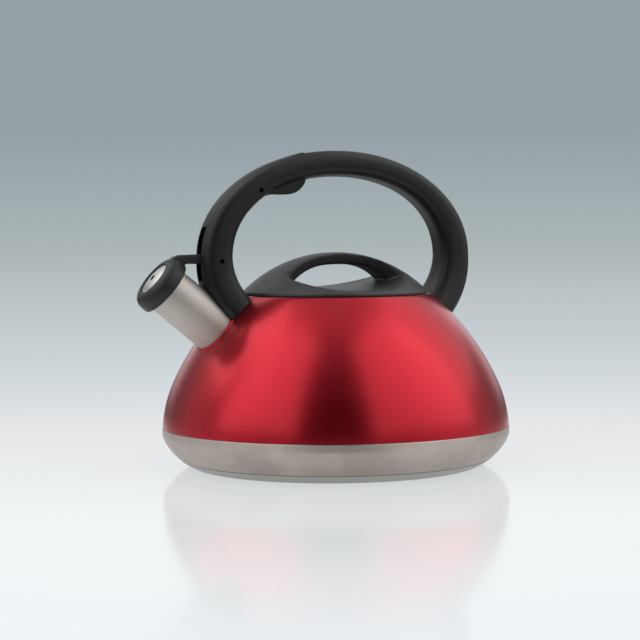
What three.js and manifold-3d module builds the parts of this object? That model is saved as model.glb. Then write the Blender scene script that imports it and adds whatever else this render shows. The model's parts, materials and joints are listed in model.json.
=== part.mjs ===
// Stovetop whistling kettle, in millimetres, +Z up.
// The origin is the centre of the base's underside and the spout points along -X.
// The vessel is a drawn steel shell on a steel pan. A moulded arch carries the trigger,
// and a wire inside the arch passes the trigger's pull on to the whistle cap's arm.
import * as THREE from 'three';
import { mergeVertices } from 'three/addons/utils/BufferGeometryUtils.js';
import Module from 'manifold-3d';

const wasm = await Module();
wasm.setup();

// ---------------------------------------------------------------- driving dimensions
// Clearances
const SEAT_GAP = 0.3; // between pieces that touch on the real object
const RUNNING_GAP = 0.5; // beside pieces that move
const PIN_GAP = 0.3; // round a pin or a screw's shank
const CUT_PAST = 20; // how far a cutter runs past the faces that it cuts

// Vessel
const BODY_RADIUS = 110; // at the widest line
const BELLY_HEIGHT = 20.8; // of the widest line above the table
const BELLY_ARC = 78.2; // radius of the lower wall, in side view
const SHOULDER_ARC = 151.1; // radius of the dome, in side view
const SHOULDER_START = 23.5; // degrees up the belly arc where the dome takes over
const SHELL_WALL = 1.2;
const SEAM_RISE = 4.6; // lower edge of the lacquered shell above the widest line
const NECK_INSET = 24.14; // filling opening's edge from the spout's root, leaves the legs room
const NECK_LIP = 4.6; // width of the rounding from the bore to the dome
const NECK_DEPTH = 9; // height of the turned-in neck wall

// Base
const BASE_FLAT_RADIUS = 88.6; // where the outer curve meets the table
const BASE_ROUNDING = 1.45; // power of the superellipse from the widest line to the table
const PAN_FLOOR = 5.5; // height of the pan's underside and of the base cap's rim
const PAN_LIP = 5; // height of the lip inside the shell
const BASE_CAP_WALL = 0.8;

// Spout
const SPOUT_ANGLE = 39.5; // degrees above the horizontal
const SPOUT_RADIUS = 14.8;
const SPOUT_WALL = 1;
const SPOUT_LENGTH = 44.1; // from the dome to the mouth, on the axis
const SPOUT_INSIDE = 2.5; // how far the tube reaches into the vessel
const COLLAR_WALL = 1.8; // rolled edge of the shell round the tube
const COLLAR_HEIGHT = 0.7; // above the dome, all round

// Handle: an arch that is given by its centre line in side view and by its thickness.
// Its legs stand over the spout's root and over the same place at the rear.
const HANDLE_LEAN = 1; // arch's middle towards the rear
const LEG_OUTSET = 0.76; // centre line at its widest, outside the spout's root
const HANDLE_LIFT = 23.6; // arch's widest level above the neck
const HANDLE_RISE = 59.4; // top of the centre line above that level
const HANDLE_DROP = 57.6; // the same for the curve below that level
const HANDLE_POWER = 2.08; // superellipse power of the centre line
const HANDLE_TOP_THICKNESS = 16.5;
const HANDLE_LEG_THICKNESS = 20.6;
const HANDLE_LEG_POWER = 5.6; // how late the thickness grows towards the legs
const HANDLE_FOOT_GROWTH = 8; // of the thickness, with the depth below the widest level
const HANDLE_WIDTH = 24;
const HANDLE_FOOT_FLARE = 12.5; // the same for the width, to the second power
const HANDLE_EDGE = 6; // corner radius of the section
const HANDLE_END = 0.86; // radians below the widest level where the legs end
const CHANNEL_FLOOR = 2.1; // wall left between the channel and the grip side
const COVER_THICKNESS = 2.6;
const COVER_WIDTH = 12;
const COVER_TOP = 1.83; // radians along the arch where the cover ends
const COVER_LIP = 0.7; // height of the cover's upper end above the arch
const COVER_LIP_TURN = 0.17; // radians over which it rises
const SLOT_BELOW = 12.2; // ends of the arm's slot, from the arm's pin
const SLOT_ABOVE = 21.2;

// Trigger: its pin lies on the arch, and its outline is in shares of its reach
const TRIGGER_TURN = 2.3164; // radians along the arch
const TRIGGER_INSET = 2.476; // pin below the centre line
const TRIGGER_TILT = -33.6; // degrees from the arch's direction at the pin
const TRIGGER_REACH = 32.5;
const TRIGGER_GRIP = [[0.108, -0.114], [0.335, -0.068], [0.622, -0.074], [0.815, -0.018],
  [0.948, 0.105], [1, 0.228]];
const TRIGGER_BACK = [[0.954, 0.258], [0.185, 0.142]];
const TRIGGER_WIDTH = 14;
const TRIGGER_HUB = 4.6;
const TRIGGER_TRAVEL = 15; // degrees
const TAIL_BACK = 13.7; // rod eye behind and below the trigger's pin
const TAIL_BELOW = 5.9;
const TAIL_EYE = 3.1; // radius round the rod eye
const PIN_RADIUS = 1.25;
const PIN_SINK = 2.5; // ends of the pins below the arch's sides

// Cap arm: its pin lies on the arch
const ARM_TURN = 3.166;
const ARM_INSET = 0.677;
const ARM_WIDTH = 7;
const ARM_HUB = 4.8;
const ARM_THICKNESS = 6;
const ARM_RISE = 4.2; // arm's upper face above its pin
const ARM_TAIL = 3.7; // rod eye from the arm's pin
const ARM_TAIL_ANGLE = 10; // degrees above the horizontal at rest
const ROD_RADIUS = 0.8;
const ROD_EYE_GAP = 0.5;
const ROD_OFFSET = 2.2; // centre of the rod beside the eyes
const ROD_SIDE_GAP = 0.4; // between the rod and the eyes' plates
const ROD_BOW = 1.9; // of the rod towards the grip side, from the arch's own curve

// Whistle cap, along the spout's axis from the cap's back rim
const CAP_CLEARANCE = 1.6; // round the tube
const CAP_DEPTH = 10.4;
const CAP_OVERLAP = 3.2; // length of tube inside the cap
const CAP_SKIRT = 2; // wall at the back rim
const CAP_BARREL = 3.6; // straight part behind the rounding
const CAP_ROUNDING = 2.3; // power of the superellipse from the barrel to the face
const CAP_EDGE = 0.5; // small edges
const CAP_SHOULDER = 6.4; // width of the rounding
const WHISTLE_INSET = 1.4; // outer plate's edge inside the rounding
const WHISTLE_LEDGE = 1.8; // width of the ledges that carry the plates
const WHISTLE_SPACE = 2.6; // between the two plates' ledges
const WHISTLE_SINK = 0.8; // plate's flat edge below the cap's face
const WHISTLE_DOME = 1.3; // rise of the outer plate
const WHISTLE_HOLE = 1.9;
const WHISTLE_SHEET = 0.7;

// Lid
const LID_OVERHANG = 1.6; // of the cover's edge beyond the neck's bore
const LID_RISE = 27.15; // crown above the seat
const LID_EDGE = 2.3; // height of the upright edge
const LID_CHAMFER = 0.8;
const SCOOP_OFFSET = 16; // of each scoop's centre from the grip bar's middle
const SCOOP_MARGIN = 1; // between the scoop and the cover's edge
const SCOOP_FLOOR = 3.95; // above the seat
const SCOOP_POWER = 3.2;
const BAR_HALF_WIDTH = 11; // at mid length
const BAR_ROOT_GROWTH = 5; // more half width at the ends
const BAR_UNDERSIDE = 19.55; // above the seat
const BAR_ARCH_DROP = 22; // of the underside, as far out as the scoop's edge
const BAR_ARCH_POWER = 2.85;
const LID_PLATE_SHEET = 0.8;
const LID_SKIRT_GAP = 3; // between the skirt and the neck's bore
const LID_SKIRT_HEIGHT = 8;
const GASKET_DROP = 2; // top of the gasket below the seat
const GASKET_HEIGHT = 4;
const GASKET_RIB = 1;

// Fasteners
const LID_SCREW_INSET = 11; // from the cover's edge
const LID_SCREW_LENGTH = 8;
const FOOT_SCREW_FRONT = 15; // nearer the kettle's axis than the spout's root
const FOOT_SCREW_REAR = 11.5; // the same at the rear foot
const FOOT_SCREW_LENGTH = 13; // beyond the shell
const SCREW_RADIUS = 1.9;
const SCREW_HEAD_RADIUS = 3.4;
const SCREW_HEAD_HEIGHT = 2;
const WASHER_RADIUS = 4.8;
const WASHER_THICKNESS = 0.8;
const WASHER_SEAT = 0.45; // gap at the middle of a flat washer on the curved wall

// Trigger spring
const SPRING_WIRE = 0.35; // wire radius
const SPRING_RADIUS = 3.3;
const SPRING_TURNS = 3;
const SPRING_SIDE = 3.5; // inner side of the coil from the arch's middle plane
const SPRING_COIL_GAP = 0.15;
const BOSS_WALL = 0.9; // round the pins, inside the coil and beside the rod

// Facets
const ROUND = 48; // segments round the vessel and the lid
const TUBE_ROUND = 40; // round the spout and the cap
const FINE = 24; // round small pieces
const WALL_STEPS = [3, 9]; // along the belly arc and along the dome
const LINING_STEPS = [4, 6]; // the same, inside the vessel

// ---------------------------------------------------------------- helpers
const radians = THREE.MathUtils.degToRad;
const degrees = THREE.MathUtils.radToDeg;
const point = (x, z) => new THREE.Vector2(x, z);

// Points on an arc, angles in degrees, both ends included.
function arc(centre, radius, from, to, steps) {
  return Array.from({ length: steps + 1 }, (_, i) => {
    const angle = radians(from + ((to - from) * i) / steps);
    return point(centre.x + radius * Math.cos(angle), centre.y + radius * Math.sin(angle));
  });
}

// Quarter of a superellipse from (centre.x + width, centre.y) to (centre.x, centre.y + height).
function superArc(centre, width, height, power, steps) {
  return Array.from({ length: steps + 1 }, (_, i) => {
    const angle = (i / steps) * (Math.PI / 2);
    return point(
      centre.x + width * Math.cos(angle) ** (2 / power),
      centre.y + height * Math.sin(angle) ** (2 / power),
    );
  });
}

// Signed volume of an indexed geometry: positive when its faces point out.
function signedVolume(geometry) {
  const { array } = geometry.getAttribute('position');
  const index = geometry.getIndex().array;
  const [a, b, c] = [new THREE.Vector3(), new THREE.Vector3(), new THREE.Vector3()];
  let sum = 0;
  for (let i = 0; i < index.length; i += 3) {
    a.fromArray(array, index[i] * 3);
    b.fromArray(array, index[i + 1] * 3);
    c.fromArray(array, index[i + 2] * 3);
    sum += a.dot(b.cross(c)) / 6;
  }
  return sum;
}

// A three.js geometry as a solid that can be joined and cut.
function solid(geometry) {
  const bare = geometry.clone();
  for (const name of Object.keys(bare.attributes)) {
    if (name !== 'position') bare.deleteAttribute(name);
  }
  const merged = mergeVertices(bare, 1e-4);
  const index = merged.getIndex().array;
  const kept = [];
  for (let i = 0; i < index.length; i += 3) {
    const [a, b, c] = [index[i], index[i + 1], index[i + 2]];
    if (a !== b && b !== c && c !== a) kept.push(a, b, c);
  }
  merged.setIndex(kept);
  if (signedVolume(merged) < 0) {
    for (let i = 0; i < kept.length; i += 3) [kept[i], kept[i + 1]] = [kept[i + 1], kept[i]];
  }
  return new wasm.Manifold(new wasm.Mesh({
    numProp: 3,
    vertProperties: new Float32Array(merged.getAttribute('position').array),
    triVerts: new Uint32Array(kept),
  }));
}

// A solid back as a three.js geometry.
function shape(body) {
  const { vertProperties, triVerts } = body.getMesh();
  const geometry = new THREE.BufferGeometry();
  geometry.setAttribute('position', new THREE.BufferAttribute(vertProperties, 3));
  geometry.setIndex(new THREE.BufferAttribute(triVerts, 1));
  geometry.computeVertexNormals();
  return geometry;
}

// Revolve a profile of (radius, height) points about +Z.
const turned = (profile, segments = ROUND) =>
  solid(new THREE.LatheGeometry(profile, segments).rotateX(Math.PI / 2));

// Extrude an outline of (x, z) points across the kettle, between two values of Y.
function prism(outline, yLow, yHigh) {
  const options = { depth: yHigh - yLow, bevelEnabled: false, curveSegments: 1 };
  const geometry = new THREE.ExtrudeGeometry(new THREE.Shape(outline), options);
  return solid(geometry.rotateX(Math.PI / 2).translate(0, yHigh, 0));
}

// A round bar across the kettle, at a point of the side view.
function crossBar(centre, radius, yLow, yHigh, segments = FINE) {
  const geometry = new THREE.CylinderGeometry(radius, radius, yHigh - yLow, segments);
  return solid(geometry.translate(centre.x, (yLow + yHigh) / 2, centre.y));
}

// Close a stack of rings of points into a skin with flat ends.
function loft(rings, closedLoop = false) {
  const count = rings[0].length;
  const positions = rings.flat().flatMap((p) => [p.x, p.y, p.z]);
  const index = [];
  const spans = closedLoop ? rings.length : rings.length - 1;
  for (let i = 0; i < spans; i += 1) {
    const next = ((i + 1) % rings.length) * count;
    for (let j = 0; j < count; j += 1) {
      const k = (j + 1) % count;
      const [a, b, c, d] = [i * count + j, i * count + k, next + k, next + j];
      index.push(a, b, c, a, c, d);
    }
  }
  if (!closedLoop) {
    const last = (rings.length - 1) * count;
    for (let j = 1; j < count - 1; j += 1) {
      index.push(0, j + 1, j, last, last + j, last + j + 1);
    }
  }
  const geometry = new THREE.BufferGeometry();
  geometry.setAttribute('position', new THREE.Float32BufferAttribute(positions, 3));
  geometry.setIndex(index);
  return solid(geometry);
}

// Turn a solid that stands on +Z so that it stands on a direction of the side view.
function stand(body, at, angle) {
  return body.rotate([0, 90 - angle, 0]).translate([at.x, 0, at.y]);
}

// A round plug on +Z: what drills a hole, and the base of simple round solids.
const plug = (radius, from, to, segments = FINE) => turned([
  point(0, from), point(radius, from), point(radius, to), point(0, to),
], segments);

// ---------------------------------------------------------------- vessel outline
const seamHeight = BELLY_HEIGHT + SEAM_RISE;
const bellyCentre = point(BODY_RADIUS - BELLY_ARC, BELLY_HEIGHT);
const shoulderCentre = point(
  bellyCentre.x + (BELLY_ARC - SHOULDER_ARC) * Math.cos(radians(SHOULDER_START)),
  bellyCentre.y + (BELLY_ARC - SHOULDER_ARC) * Math.sin(radians(SHOULDER_START)),
);
// The spout stands square on the dome.
const spoutRoot = point(
  -(shoulderCentre.x + SHOULDER_ARC * Math.cos(radians(SPOUT_ANGLE))),
  shoulderCentre.y + SHOULDER_ARC * Math.sin(radians(SPOUT_ANGLE)),
);
const neckBore = -spoutRoot.x - NECK_INSET;
const neckRadius = neckBore + NECK_LIP; // where the dome turns in to the neck
const neckAngle = degrees(Math.acos((neckRadius - shoulderCentre.x) / SHOULDER_ARC));
const neckRound = NECK_LIP / (1 + Math.cos(radians(neckAngle)));
const neckCentre = point(
  neckBore + neckRound,
  shoulderCentre.y + (SHOULDER_ARC - neckRound) * Math.sin(radians(neckAngle)),
);
const neckTop = neckCentre.y + neckRound;

// Angle on the belly arc at a height, when the arc is moved out by an offset.
const bellyAngle = (height, offset) =>
  degrees(Math.asin((height - BELLY_HEIGHT) / (BELLY_ARC + offset)));

// Wall of the vessel from the seam to the neck, moved out by an offset.
function wallLine(offset, steps = WALL_STEPS) {
  const belly = BELLY_ARC + offset;
  const shoulder = SHOULDER_ARC + offset;
  return [
    ...arc(bellyCentre, belly, bellyAngle(seamHeight, offset), SHOULDER_START, steps[0]),
    ...arc(shoulderCentre, shoulder, SHOULDER_START, neckAngle, steps[1]).slice(1),
  ];
}

// The room that the vessel takes, filled to the axis and moved out by an offset.
const vesselFill = (offset) => turned([
  point(0, seamHeight),
  ...wallLine(offset),
  ...arc(neckCentre, neckRound + offset, neckAngle, 90, 2).slice(1),
  point(0, neckTop + offset),
]);

const spoutAlong = point(-Math.cos(radians(SPOUT_ANGLE)), Math.sin(radians(SPOUT_ANGLE)));
const onSpout = (body, distance) =>
  stand(body, spoutRoot.clone().addScaledVector(spoutAlong, distance), 180 - SPOUT_ANGLE);

// The two foot screws: side -1 is the front foot, 1 the rear one.
const feet = [
  { end: 'front', side: -1, distance: -spoutRoot.x - FOOT_SCREW_FRONT },
  { end: 'rear', side: 1, distance: -spoutRoot.x - FOOT_SCREW_REAR },
];

// Put a solid that stands on +Z square on the dome at a foot.
function onFoot(body, { side, distance }) {
  const angle = degrees(Math.acos((distance - shoulderCentre.x) / SHOULDER_ARC));
  const height = shoulderCentre.y + SHOULDER_ARC * Math.sin(radians(angle));
  return stand(body, point(side * distance, height), side < 0 ? 180 - angle : angle);
}

// ---------------------------------------------------------------- vessel
// Ring of even height over the dome, round the spout.
function spoutCollar() {
  const outside = SPOUT_RADIUS + SEAT_GAP + COLLAR_WALL;
  const reach = outside / 2;
  return onSpout(plug(outside, -reach, reach, TUBE_ROUND), 0)
    .intersect(vesselFill(COLLAR_HEIGHT))
    .subtract(vesselFill(-SHELL_WALL / 2));
}

function bodyShell() {
  const wall = turned([
    ...wallLine(0),
    ...arc(neckCentre, neckRound, neckAngle, 180, 4).slice(1),
    point(neckBore, neckCentre.y - NECK_DEPTH),
    point(neckBore + SHELL_WALL, neckCentre.y - NECK_DEPTH),
    ...arc(neckCentre, neckRound - SHELL_WALL, 180, neckAngle, 2),
    ...wallLine(-SHELL_WALL, LINING_STEPS).reverse().slice(1),
    wallLine(0)[0],
  ]);
  const tubeHole = plug(SPOUT_RADIUS + SEAT_GAP, -CUT_PAST, CUT_PAST, TUBE_ROUND);
  const screwHole = plug(SCREW_RADIUS + PIN_GAP, -CUT_PAST, CUT_PAST, FINE);
  return feet.reduce((shell, foot) => shell.subtract(onFoot(screwHole, foot)),
    wall.add(spoutCollar()).subtract(onSpout(tubeHole, 0)));
}

// The kettle's lower curve from the widest line to the table, moved inwards by an inset:
// radii for a list of heights.
function baseCurve(inset, heights) {
  const [width, depth] = [BODY_RADIUS - BASE_FLAT_RADIUS, BELLY_HEIGHT - inset];
  return heights.map((height) => {
    const share = Math.min(1, (BELLY_HEIGHT - height) / depth) ** BASE_ROUNDING;
    return point(
      BASE_FLAT_RADIUS - inset + width * (1 - share) ** (1 / BASE_ROUNDING), height);
  });
}

// Heights that lie closer together towards the lower end.
const heightsDown = (from, to, steps) => Array.from(
  { length: steps + 1 }, (_, i) => to + (from - to) * (1 - i / steps) ** 1.6);

function basePan() {
  const seam = seamHeight - SEAT_GAP;
  const lip = (offset) => arc(bellyCentre, BELLY_ARC + offset,
    bellyAngle(seam, offset), bellyAngle(seamHeight + PAN_LIP, offset), 1);
  const lipOut = -SHELL_WALL - SEAT_GAP;
  const innerFloor = PAN_FLOOR + SHELL_WALL;
  return turned([
    point(0, innerFloor),
    ...baseCurve(SHELL_WALL + SEAT_GAP, heightsDown(BELLY_HEIGHT, innerFloor, 6)).reverse(),
    ...lip(lipOut - SHELL_WALL),
    ...lip(lipOut).reverse(),
    lip(0)[0],
    ...baseCurve(0, heightsDown(BELLY_HEIGHT, PAN_FLOOR, 6)),
    point(0, PAN_FLOOR),
  ]);
}

function baseCap() {
  const top = PAN_FLOOR - SEAT_GAP;
  return turned([
    point(0, 0),
    ...baseCurve(0, heightsDown(top, 0, 5)).reverse(),
    ...baseCurve(BASE_CAP_WALL, heightsDown(top, BASE_CAP_WALL, 4)),
    point(0, BASE_CAP_WALL),
  ]);
}

const heatSpreader = () => plug(
  BASE_FLAT_RADIUS - BASE_CAP_WALL - SEAT_GAP, BASE_CAP_WALL, PAN_FLOOR - SEAT_GAP, ROUND);

// ---------------------------------------------------------------- spout
function spoutTube() {
  const bore = SPOUT_RADIUS - SPOUT_WALL;
  const lip = SPOUT_WALL / 2;
  return turned([
    point(bore, -SPOUT_INSIDE),
    point(SPOUT_RADIUS, -SPOUT_INSIDE),
    point(SPOUT_RADIUS, SPOUT_LENGTH - lip),
    point(SPOUT_RADIUS - lip, SPOUT_LENGTH),
    point(bore, SPOUT_LENGTH - lip),
    point(bore, -SPOUT_INSIDE),
  ], TUBE_ROUND);
}

// ---------------------------------------------------------------- handle
const archMiddle = point(HANDLE_LEAN, neckTop + HANDLE_LIFT);
const archHalfSpan = LEG_OUTSET - spoutRoot.x;

// Centre line of the arch: t runs from the rear leg (0) over the top to the front leg (pi).
function archPoint(t) {
  const [c, s] = [Math.cos(t), Math.sin(t)];
  const reach = s >= 0 ? HANDLE_RISE : HANDLE_DROP;
  return point(
    archMiddle.x + archHalfSpan * Math.sign(c) * Math.abs(c) ** (2 / HANDLE_POWER),
    archMiddle.y + reach * Math.sign(s) * Math.abs(s) ** (2 / HANDLE_POWER),
  );
}

function archThickness(t) {
  const legs = Math.abs(Math.cos(t)) ** HANDLE_LEG_POWER;
  const foot = Math.max(0, -Math.sin(t)) * HANDLE_FOOT_GROWTH;
  return THREE.MathUtils.lerp(HANDLE_TOP_THICKNESS, HANDLE_LEG_THICKNESS, legs) + foot;
}

// Direction out of the arch at t, in side view.
function archOut(t) {
  const step = 0.01;
  const along = archPoint(t + step).sub(archPoint(t - step)).normalize();
  return point(along.y, -along.x);
}

// Point off the centre line, outwards when the offset is positive.
const archOffset = (t, offset) => archPoint(t).addScaledVector(archOut(t), offset);

// Point at a depth below the arch's outer face, or below its inner face.
const outerFace = (t, depth) => archOffset(t, archThickness(t) / 2 - depth);
const innerFace = (t, depth) => archOffset(t, depth - archThickness(t) / 2);

// Closed outline of a band along the arch, between two lines that are functions of t.
function archBand(from, to, upper, lower, steps = 16) {
  const turns = Array.from({ length: steps + 1 }, (_, i) => from + ((to - from) * i) / steps);
  return [...turns.map(upper), ...turns.reverse().map(lower)];
}

// The arch as one solid bar with rounded edges.
function archBar() {
  const spans = 46;
  return loft(Array.from({ length: spans + 1 }, (_, i) => {
    const t = -HANDLE_END + ((Math.PI + 2 * HANDLE_END) * i) / spans;
    const flare = Math.max(0, -Math.sin(t)) ** 2 * HANDLE_FOOT_FLARE;
    const [half, side] = [archThickness(t) / 2, HANDLE_WIDTH / 2 + flare];
    const section = [];
    for (const [out, across, from] of [[1, 1, 0], [-1, 1, 90], [-1, -1, 180], [1, -1, 270]]) {
      const middle = point(out * (half - HANDLE_EDGE), across * (side - HANDLE_EDGE));
      section.push(...arc(middle, HANDLE_EDGE, from, from + 90, 3));
    }
    return section.map((p) => {
      const at = archOffset(t, p.x);
      return new THREE.Vector3(at.x, p.y, at.y);
    });
  }));
}

// Where the arch's outer face passes a height on the front leg.
function frontLegAt(height) {
  let [low, high] = [Math.PI / 2, Math.PI + HANDLE_END];
  for (let i = 0; i < 40; i += 1) {
    const middle = (low + high) / 2;
    if (outerFace(middle, 0).y > height) low = middle;
    else high = middle;
  }
  return (low + high) / 2;
}

const triggerPin = archOffset(TRIGGER_TURN, -TRIGGER_INSET);
const armPin = archOffset(ARM_TURN, -ARM_INSET);
const coverEnd = frontLegAt(armPin.y + SLOT_ABOVE);
const slotEnd = frontLegAt(armPin.y - SLOT_BELOW);
const ABOVE_FACE = -HANDLE_EDGE; // depth of a line that passes outside the arch

function coverBand(gap) {
  const turn = gap / archHalfSpan;
  const outline = archBand(COVER_TOP - turn, coverEnd + turn,
    (t) => outerFace(t, ABOVE_FACE), (t) => outerFace(t, COVER_THICKNESS + gap));
  return prism(outline, -COVER_WIDTH / 2 - gap, COVER_WIDTH / 2 + gap);
}

// The cover follows the arch and rises to a low lip at its upper end.
function handleCover() {
  const turns = [0, 0.25, 0.5, 0.75, 1];
  const top = turns.map((u) =>
    outerFace(COVER_TOP + COVER_LIP_TURN * u, -COVER_LIP * (1 - u) ** 1.5));
  const under = turns.map((u) => outerFace(COVER_TOP + COVER_LIP_TURN * u, COVER_THICKNESS));
  const lip = prism([...top, ...under.reverse()], -COVER_WIDTH / 2, COVER_WIDTH / 2);
  return archBar().intersect(coverBand(0)).add(lip);
}

// Channel for the tail, the rod and the arm: open to the cover and to the arm's slot.
function channel() {
  const half = ARM_WIDTH / 2 + RUNNING_GAP;
  const run = archBand(TRIGGER_TURN, slotEnd,
    (t) => outerFace(t, t < coverEnd ? COVER_THICKNESS : ABOVE_FACE),
    (t) => innerFace(t, CHANNEL_FLOOR));
  const slot = archBand(coverEnd, slotEnd,
    (t) => outerFace(t, ABOVE_FACE), (t) => outerFace(t, COVER_THICKNESS * 2));
  return prism(run, -half, half).add(prism(slot, -half, half));
}

// A point of the trigger's own frame: x along the paddle, y towards its back.
const triggerHeading = Math.atan2(archOut(TRIGGER_TURN).y, archOut(TRIGGER_TURN).x)
  - Math.PI / 2 + radians(TRIGGER_TILT);
const onTrigger = (x, y) =>
  point(x, y).rotateAround(point(0, 0), triggerHeading).add(triggerPin);

// Pocket in the arch's inner face that takes the trigger through its whole travel.
function triggerPocket() {
  const reach = TRIGGER_REACH + 3 * RUNNING_GAP;
  const below = HANDLE_TOP_THICKNESS;
  const roofEnd = TRIGGER_TRAVEL + 19; // degrees from the pin to the roof's far corner
  const outline = [
    point(-0.06 * reach, -below),
    point(0.9 * reach, -below),
    ...arc(point(0, 0), reach, -20, roofEnd, 6),
    point(0.507 * reach, 0.4 * reach),
    ...arc(point(0, 0), TRIGGER_HUB + 2 * RUNNING_GAP, 75, 262, 7),
  ].map((p) => onTrigger(p.x, p.y));
  const half = TRIGGER_WIDTH / 2 + RUNNING_GAP;
  return prism(outline, -half, half);
}

function handleBody() {
  const pinHole = (pin) =>
    crossBar(pin, PIN_RADIUS + PIN_GAP, -HANDLE_WIDTH, HANDLE_WIDTH, FINE);
  const tube = plug(SPOUT_RADIUS + SEAT_GAP, -CUT_PAST, SPOUT_LENGTH, TUBE_ROUND);
  const overCollar = plug(SPOUT_RADIUS + 2 * SEAT_GAP + COLLAR_WALL, -CUT_PAST, CUT_PAST,
    TUBE_ROUND);
  const screwHole = plug(
    SCREW_RADIUS + PIN_GAP, -CUT_PAST, FOOT_SCREW_LENGTH + SEAT_GAP, FINE);
  return [
    coverBand(SEAT_GAP),
    channel(),
    triggerPocket(),
    pinHole(triggerPin),
    pinHole(armPin),
    vesselFill(SEAT_GAP),
    onSpout(tube, 0),
    onSpout(overCollar, 0).intersect(vesselFill(COLLAR_HEIGHT + SEAT_GAP)),
    ...feet.map((foot) => onFoot(screwHole, foot)),
  ].reduce((body, cutter) => body.subtract(cutter), archBar());
}

const pinHalf = HANDLE_WIDTH / 2 - PIN_SINK;
const crossPin = (centre) => crossBar(centre, PIN_RADIUS, -pinHalf, pinHalf, FINE);

// ---------------------------------------------------------------- trigger and rod
const tailEye = onTrigger(-TAIL_BACK, -TAIL_BELOW);
const armEye = point(
  armPin.x + ARM_TAIL * Math.cos(radians(ARM_TAIL_ANGLE)),
  armPin.y + ARM_TAIL * Math.sin(radians(ARM_TAIL_ANGLE)),
);
// Faces of the two plates that carry the rod's eyes, across the arch.
const eyeLow = SEAT_GAP - ARM_WIDTH / 2;
const eyeHigh = ROD_OFFSET - ROD_RADIUS - ROD_SIDE_GAP;

// Straight link with round ends between two points of the side view.
function link(from, to, radiusFrom, radiusTo, yLow, yHigh) {
  const heading = degrees(Math.atan2(to.y - from.y, to.x - from.x));
  const outline = [
    ...arc(to, radiusTo, heading - 90, heading + 90, 7),
    ...arc(from, radiusFrom, heading + 90, heading + 270, 7),
  ];
  return prism(outline, yLow, yHigh);
}

function trigger() {
  const scaled = (pairs) =>
    pairs.map(([x, y]) => onTrigger(x * TRIGGER_REACH, y * TRIGGER_REACH));
  const outline = [
    onTrigger(0, -TRIGGER_HUB),
    ...new THREE.SplineCurve(scaled(TRIGGER_GRIP)).getPoints(14),
    ...scaled(TRIGGER_BACK),
    onTrigger(0, TRIGGER_HUB),
  ];
  const half = TRIGGER_WIDTH / 2;
  const springRoom = crossBar(
    triggerPin, TRIGGER_HUB * 1.4, SPRING_SIDE, half + RUNNING_GAP);
  const hole = PIN_RADIUS + PIN_GAP;
  return prism(outline, -half, half)
    .add(crossBar(triggerPin, TRIGGER_HUB, -half, half))
    .subtract(springRoom)
    .add(crossBar(triggerPin, hole + BOSS_WALL, 0, half))
    .add(link(triggerPin, tailEye, TRIGGER_HUB * 0.8, TAIL_EYE, eyeLow, eyeHigh))
    .subtract(crossBar(triggerPin, hole, -CUT_PAST, CUT_PAST))
    .subtract(crossBar(tailEye, ROD_RADIUS + PIN_GAP, -CUT_PAST, CUT_PAST));
}

// Round wire along stations: each ring stands on the plane that halves the bend.
function wire(stations, radius, sides) {
  let side = new THREE.Vector3(1, 0, 0);
  return loft(stations.map((station, i) => {
    const before = stations[Math.max(0, i - 1)];
    const after = stations[Math.min(stations.length - 1, i + 1)];
    const along = after.clone().sub(before).normalize();
    side = side.clone().addScaledVector(along, -side.dot(along)).normalize();
    const other = along.clone().cross(side);
    return Array.from({ length: sides }, (_, j) => {
      const angle = (2 * Math.PI * j) / sides;
      return station.clone()
        .addScaledVector(side, radius * Math.cos(angle))
        .addScaledVector(other, radius * Math.sin(angle));
    });
  }));
}

// How a point of the side view lies on the arch: its turn and its offset.
function archPlace(at) {
  const away = (t) => archPoint(t).distanceTo(at);
  let turn = 0;
  for (let t = 0; t <= Math.PI + HANDLE_END; t += 0.002) if (away(t) < away(turn)) turn = t;
  return { turn, offset: at.clone().sub(archPoint(turn)).dot(archOut(turn)) };
}

// Bent wire: across through the trigger's eye, down the channel, across into the arm's eye.
function pushRod() {
  const [from, to] = [archPlace(tailEye), archPlace(armEye)];
  const steps = 12;
  const run = Array.from({ length: steps + 1 }, (_, i) => {
    const u = i / steps;
    const offset = THREE.MathUtils.lerp(from.offset, to.offset, u);
    return archOffset(THREE.MathUtils.lerp(from.turn, to.turn, u),
      offset - ROD_BOW * Math.sin(Math.PI * u));
  });
  [run[0], run[steps]] = [tailEye, armEye];
  return wire([
    new THREE.Vector3(tailEye.x, eyeLow, tailEye.y),
    new THREE.Vector3(tailEye.x, eyeHigh, tailEye.y),
    ...run.map((p) => new THREE.Vector3(p.x, ROD_OFFSET, p.y)),
    new THREE.Vector3(armEye.x, eyeHigh, armEye.y),
    new THREE.Vector3(armEye.x, eyeLow, armEye.y),
  ], ROD_RADIUS, 10);
}

// Torsion coil round the trigger's boss.
function triggerSpring() {
  const perTurn = 12;
  const pitch = 2 * SPRING_WIRE + SPRING_COIL_GAP;
  return wire(Array.from({ length: SPRING_TURNS * perTurn + 1 }, (_, i) => {
    const angle = radians(200) + (2 * Math.PI * i) / perTurn;
    return new THREE.Vector3(
      triggerPin.x + SPRING_RADIUS * Math.cos(angle),
      SPRING_SIDE + SPRING_WIRE + (pitch * i) / perTurn,
      triggerPin.y + SPRING_RADIUS * Math.sin(angle),
    );
  }), SPRING_WIRE, 6);
}

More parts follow.
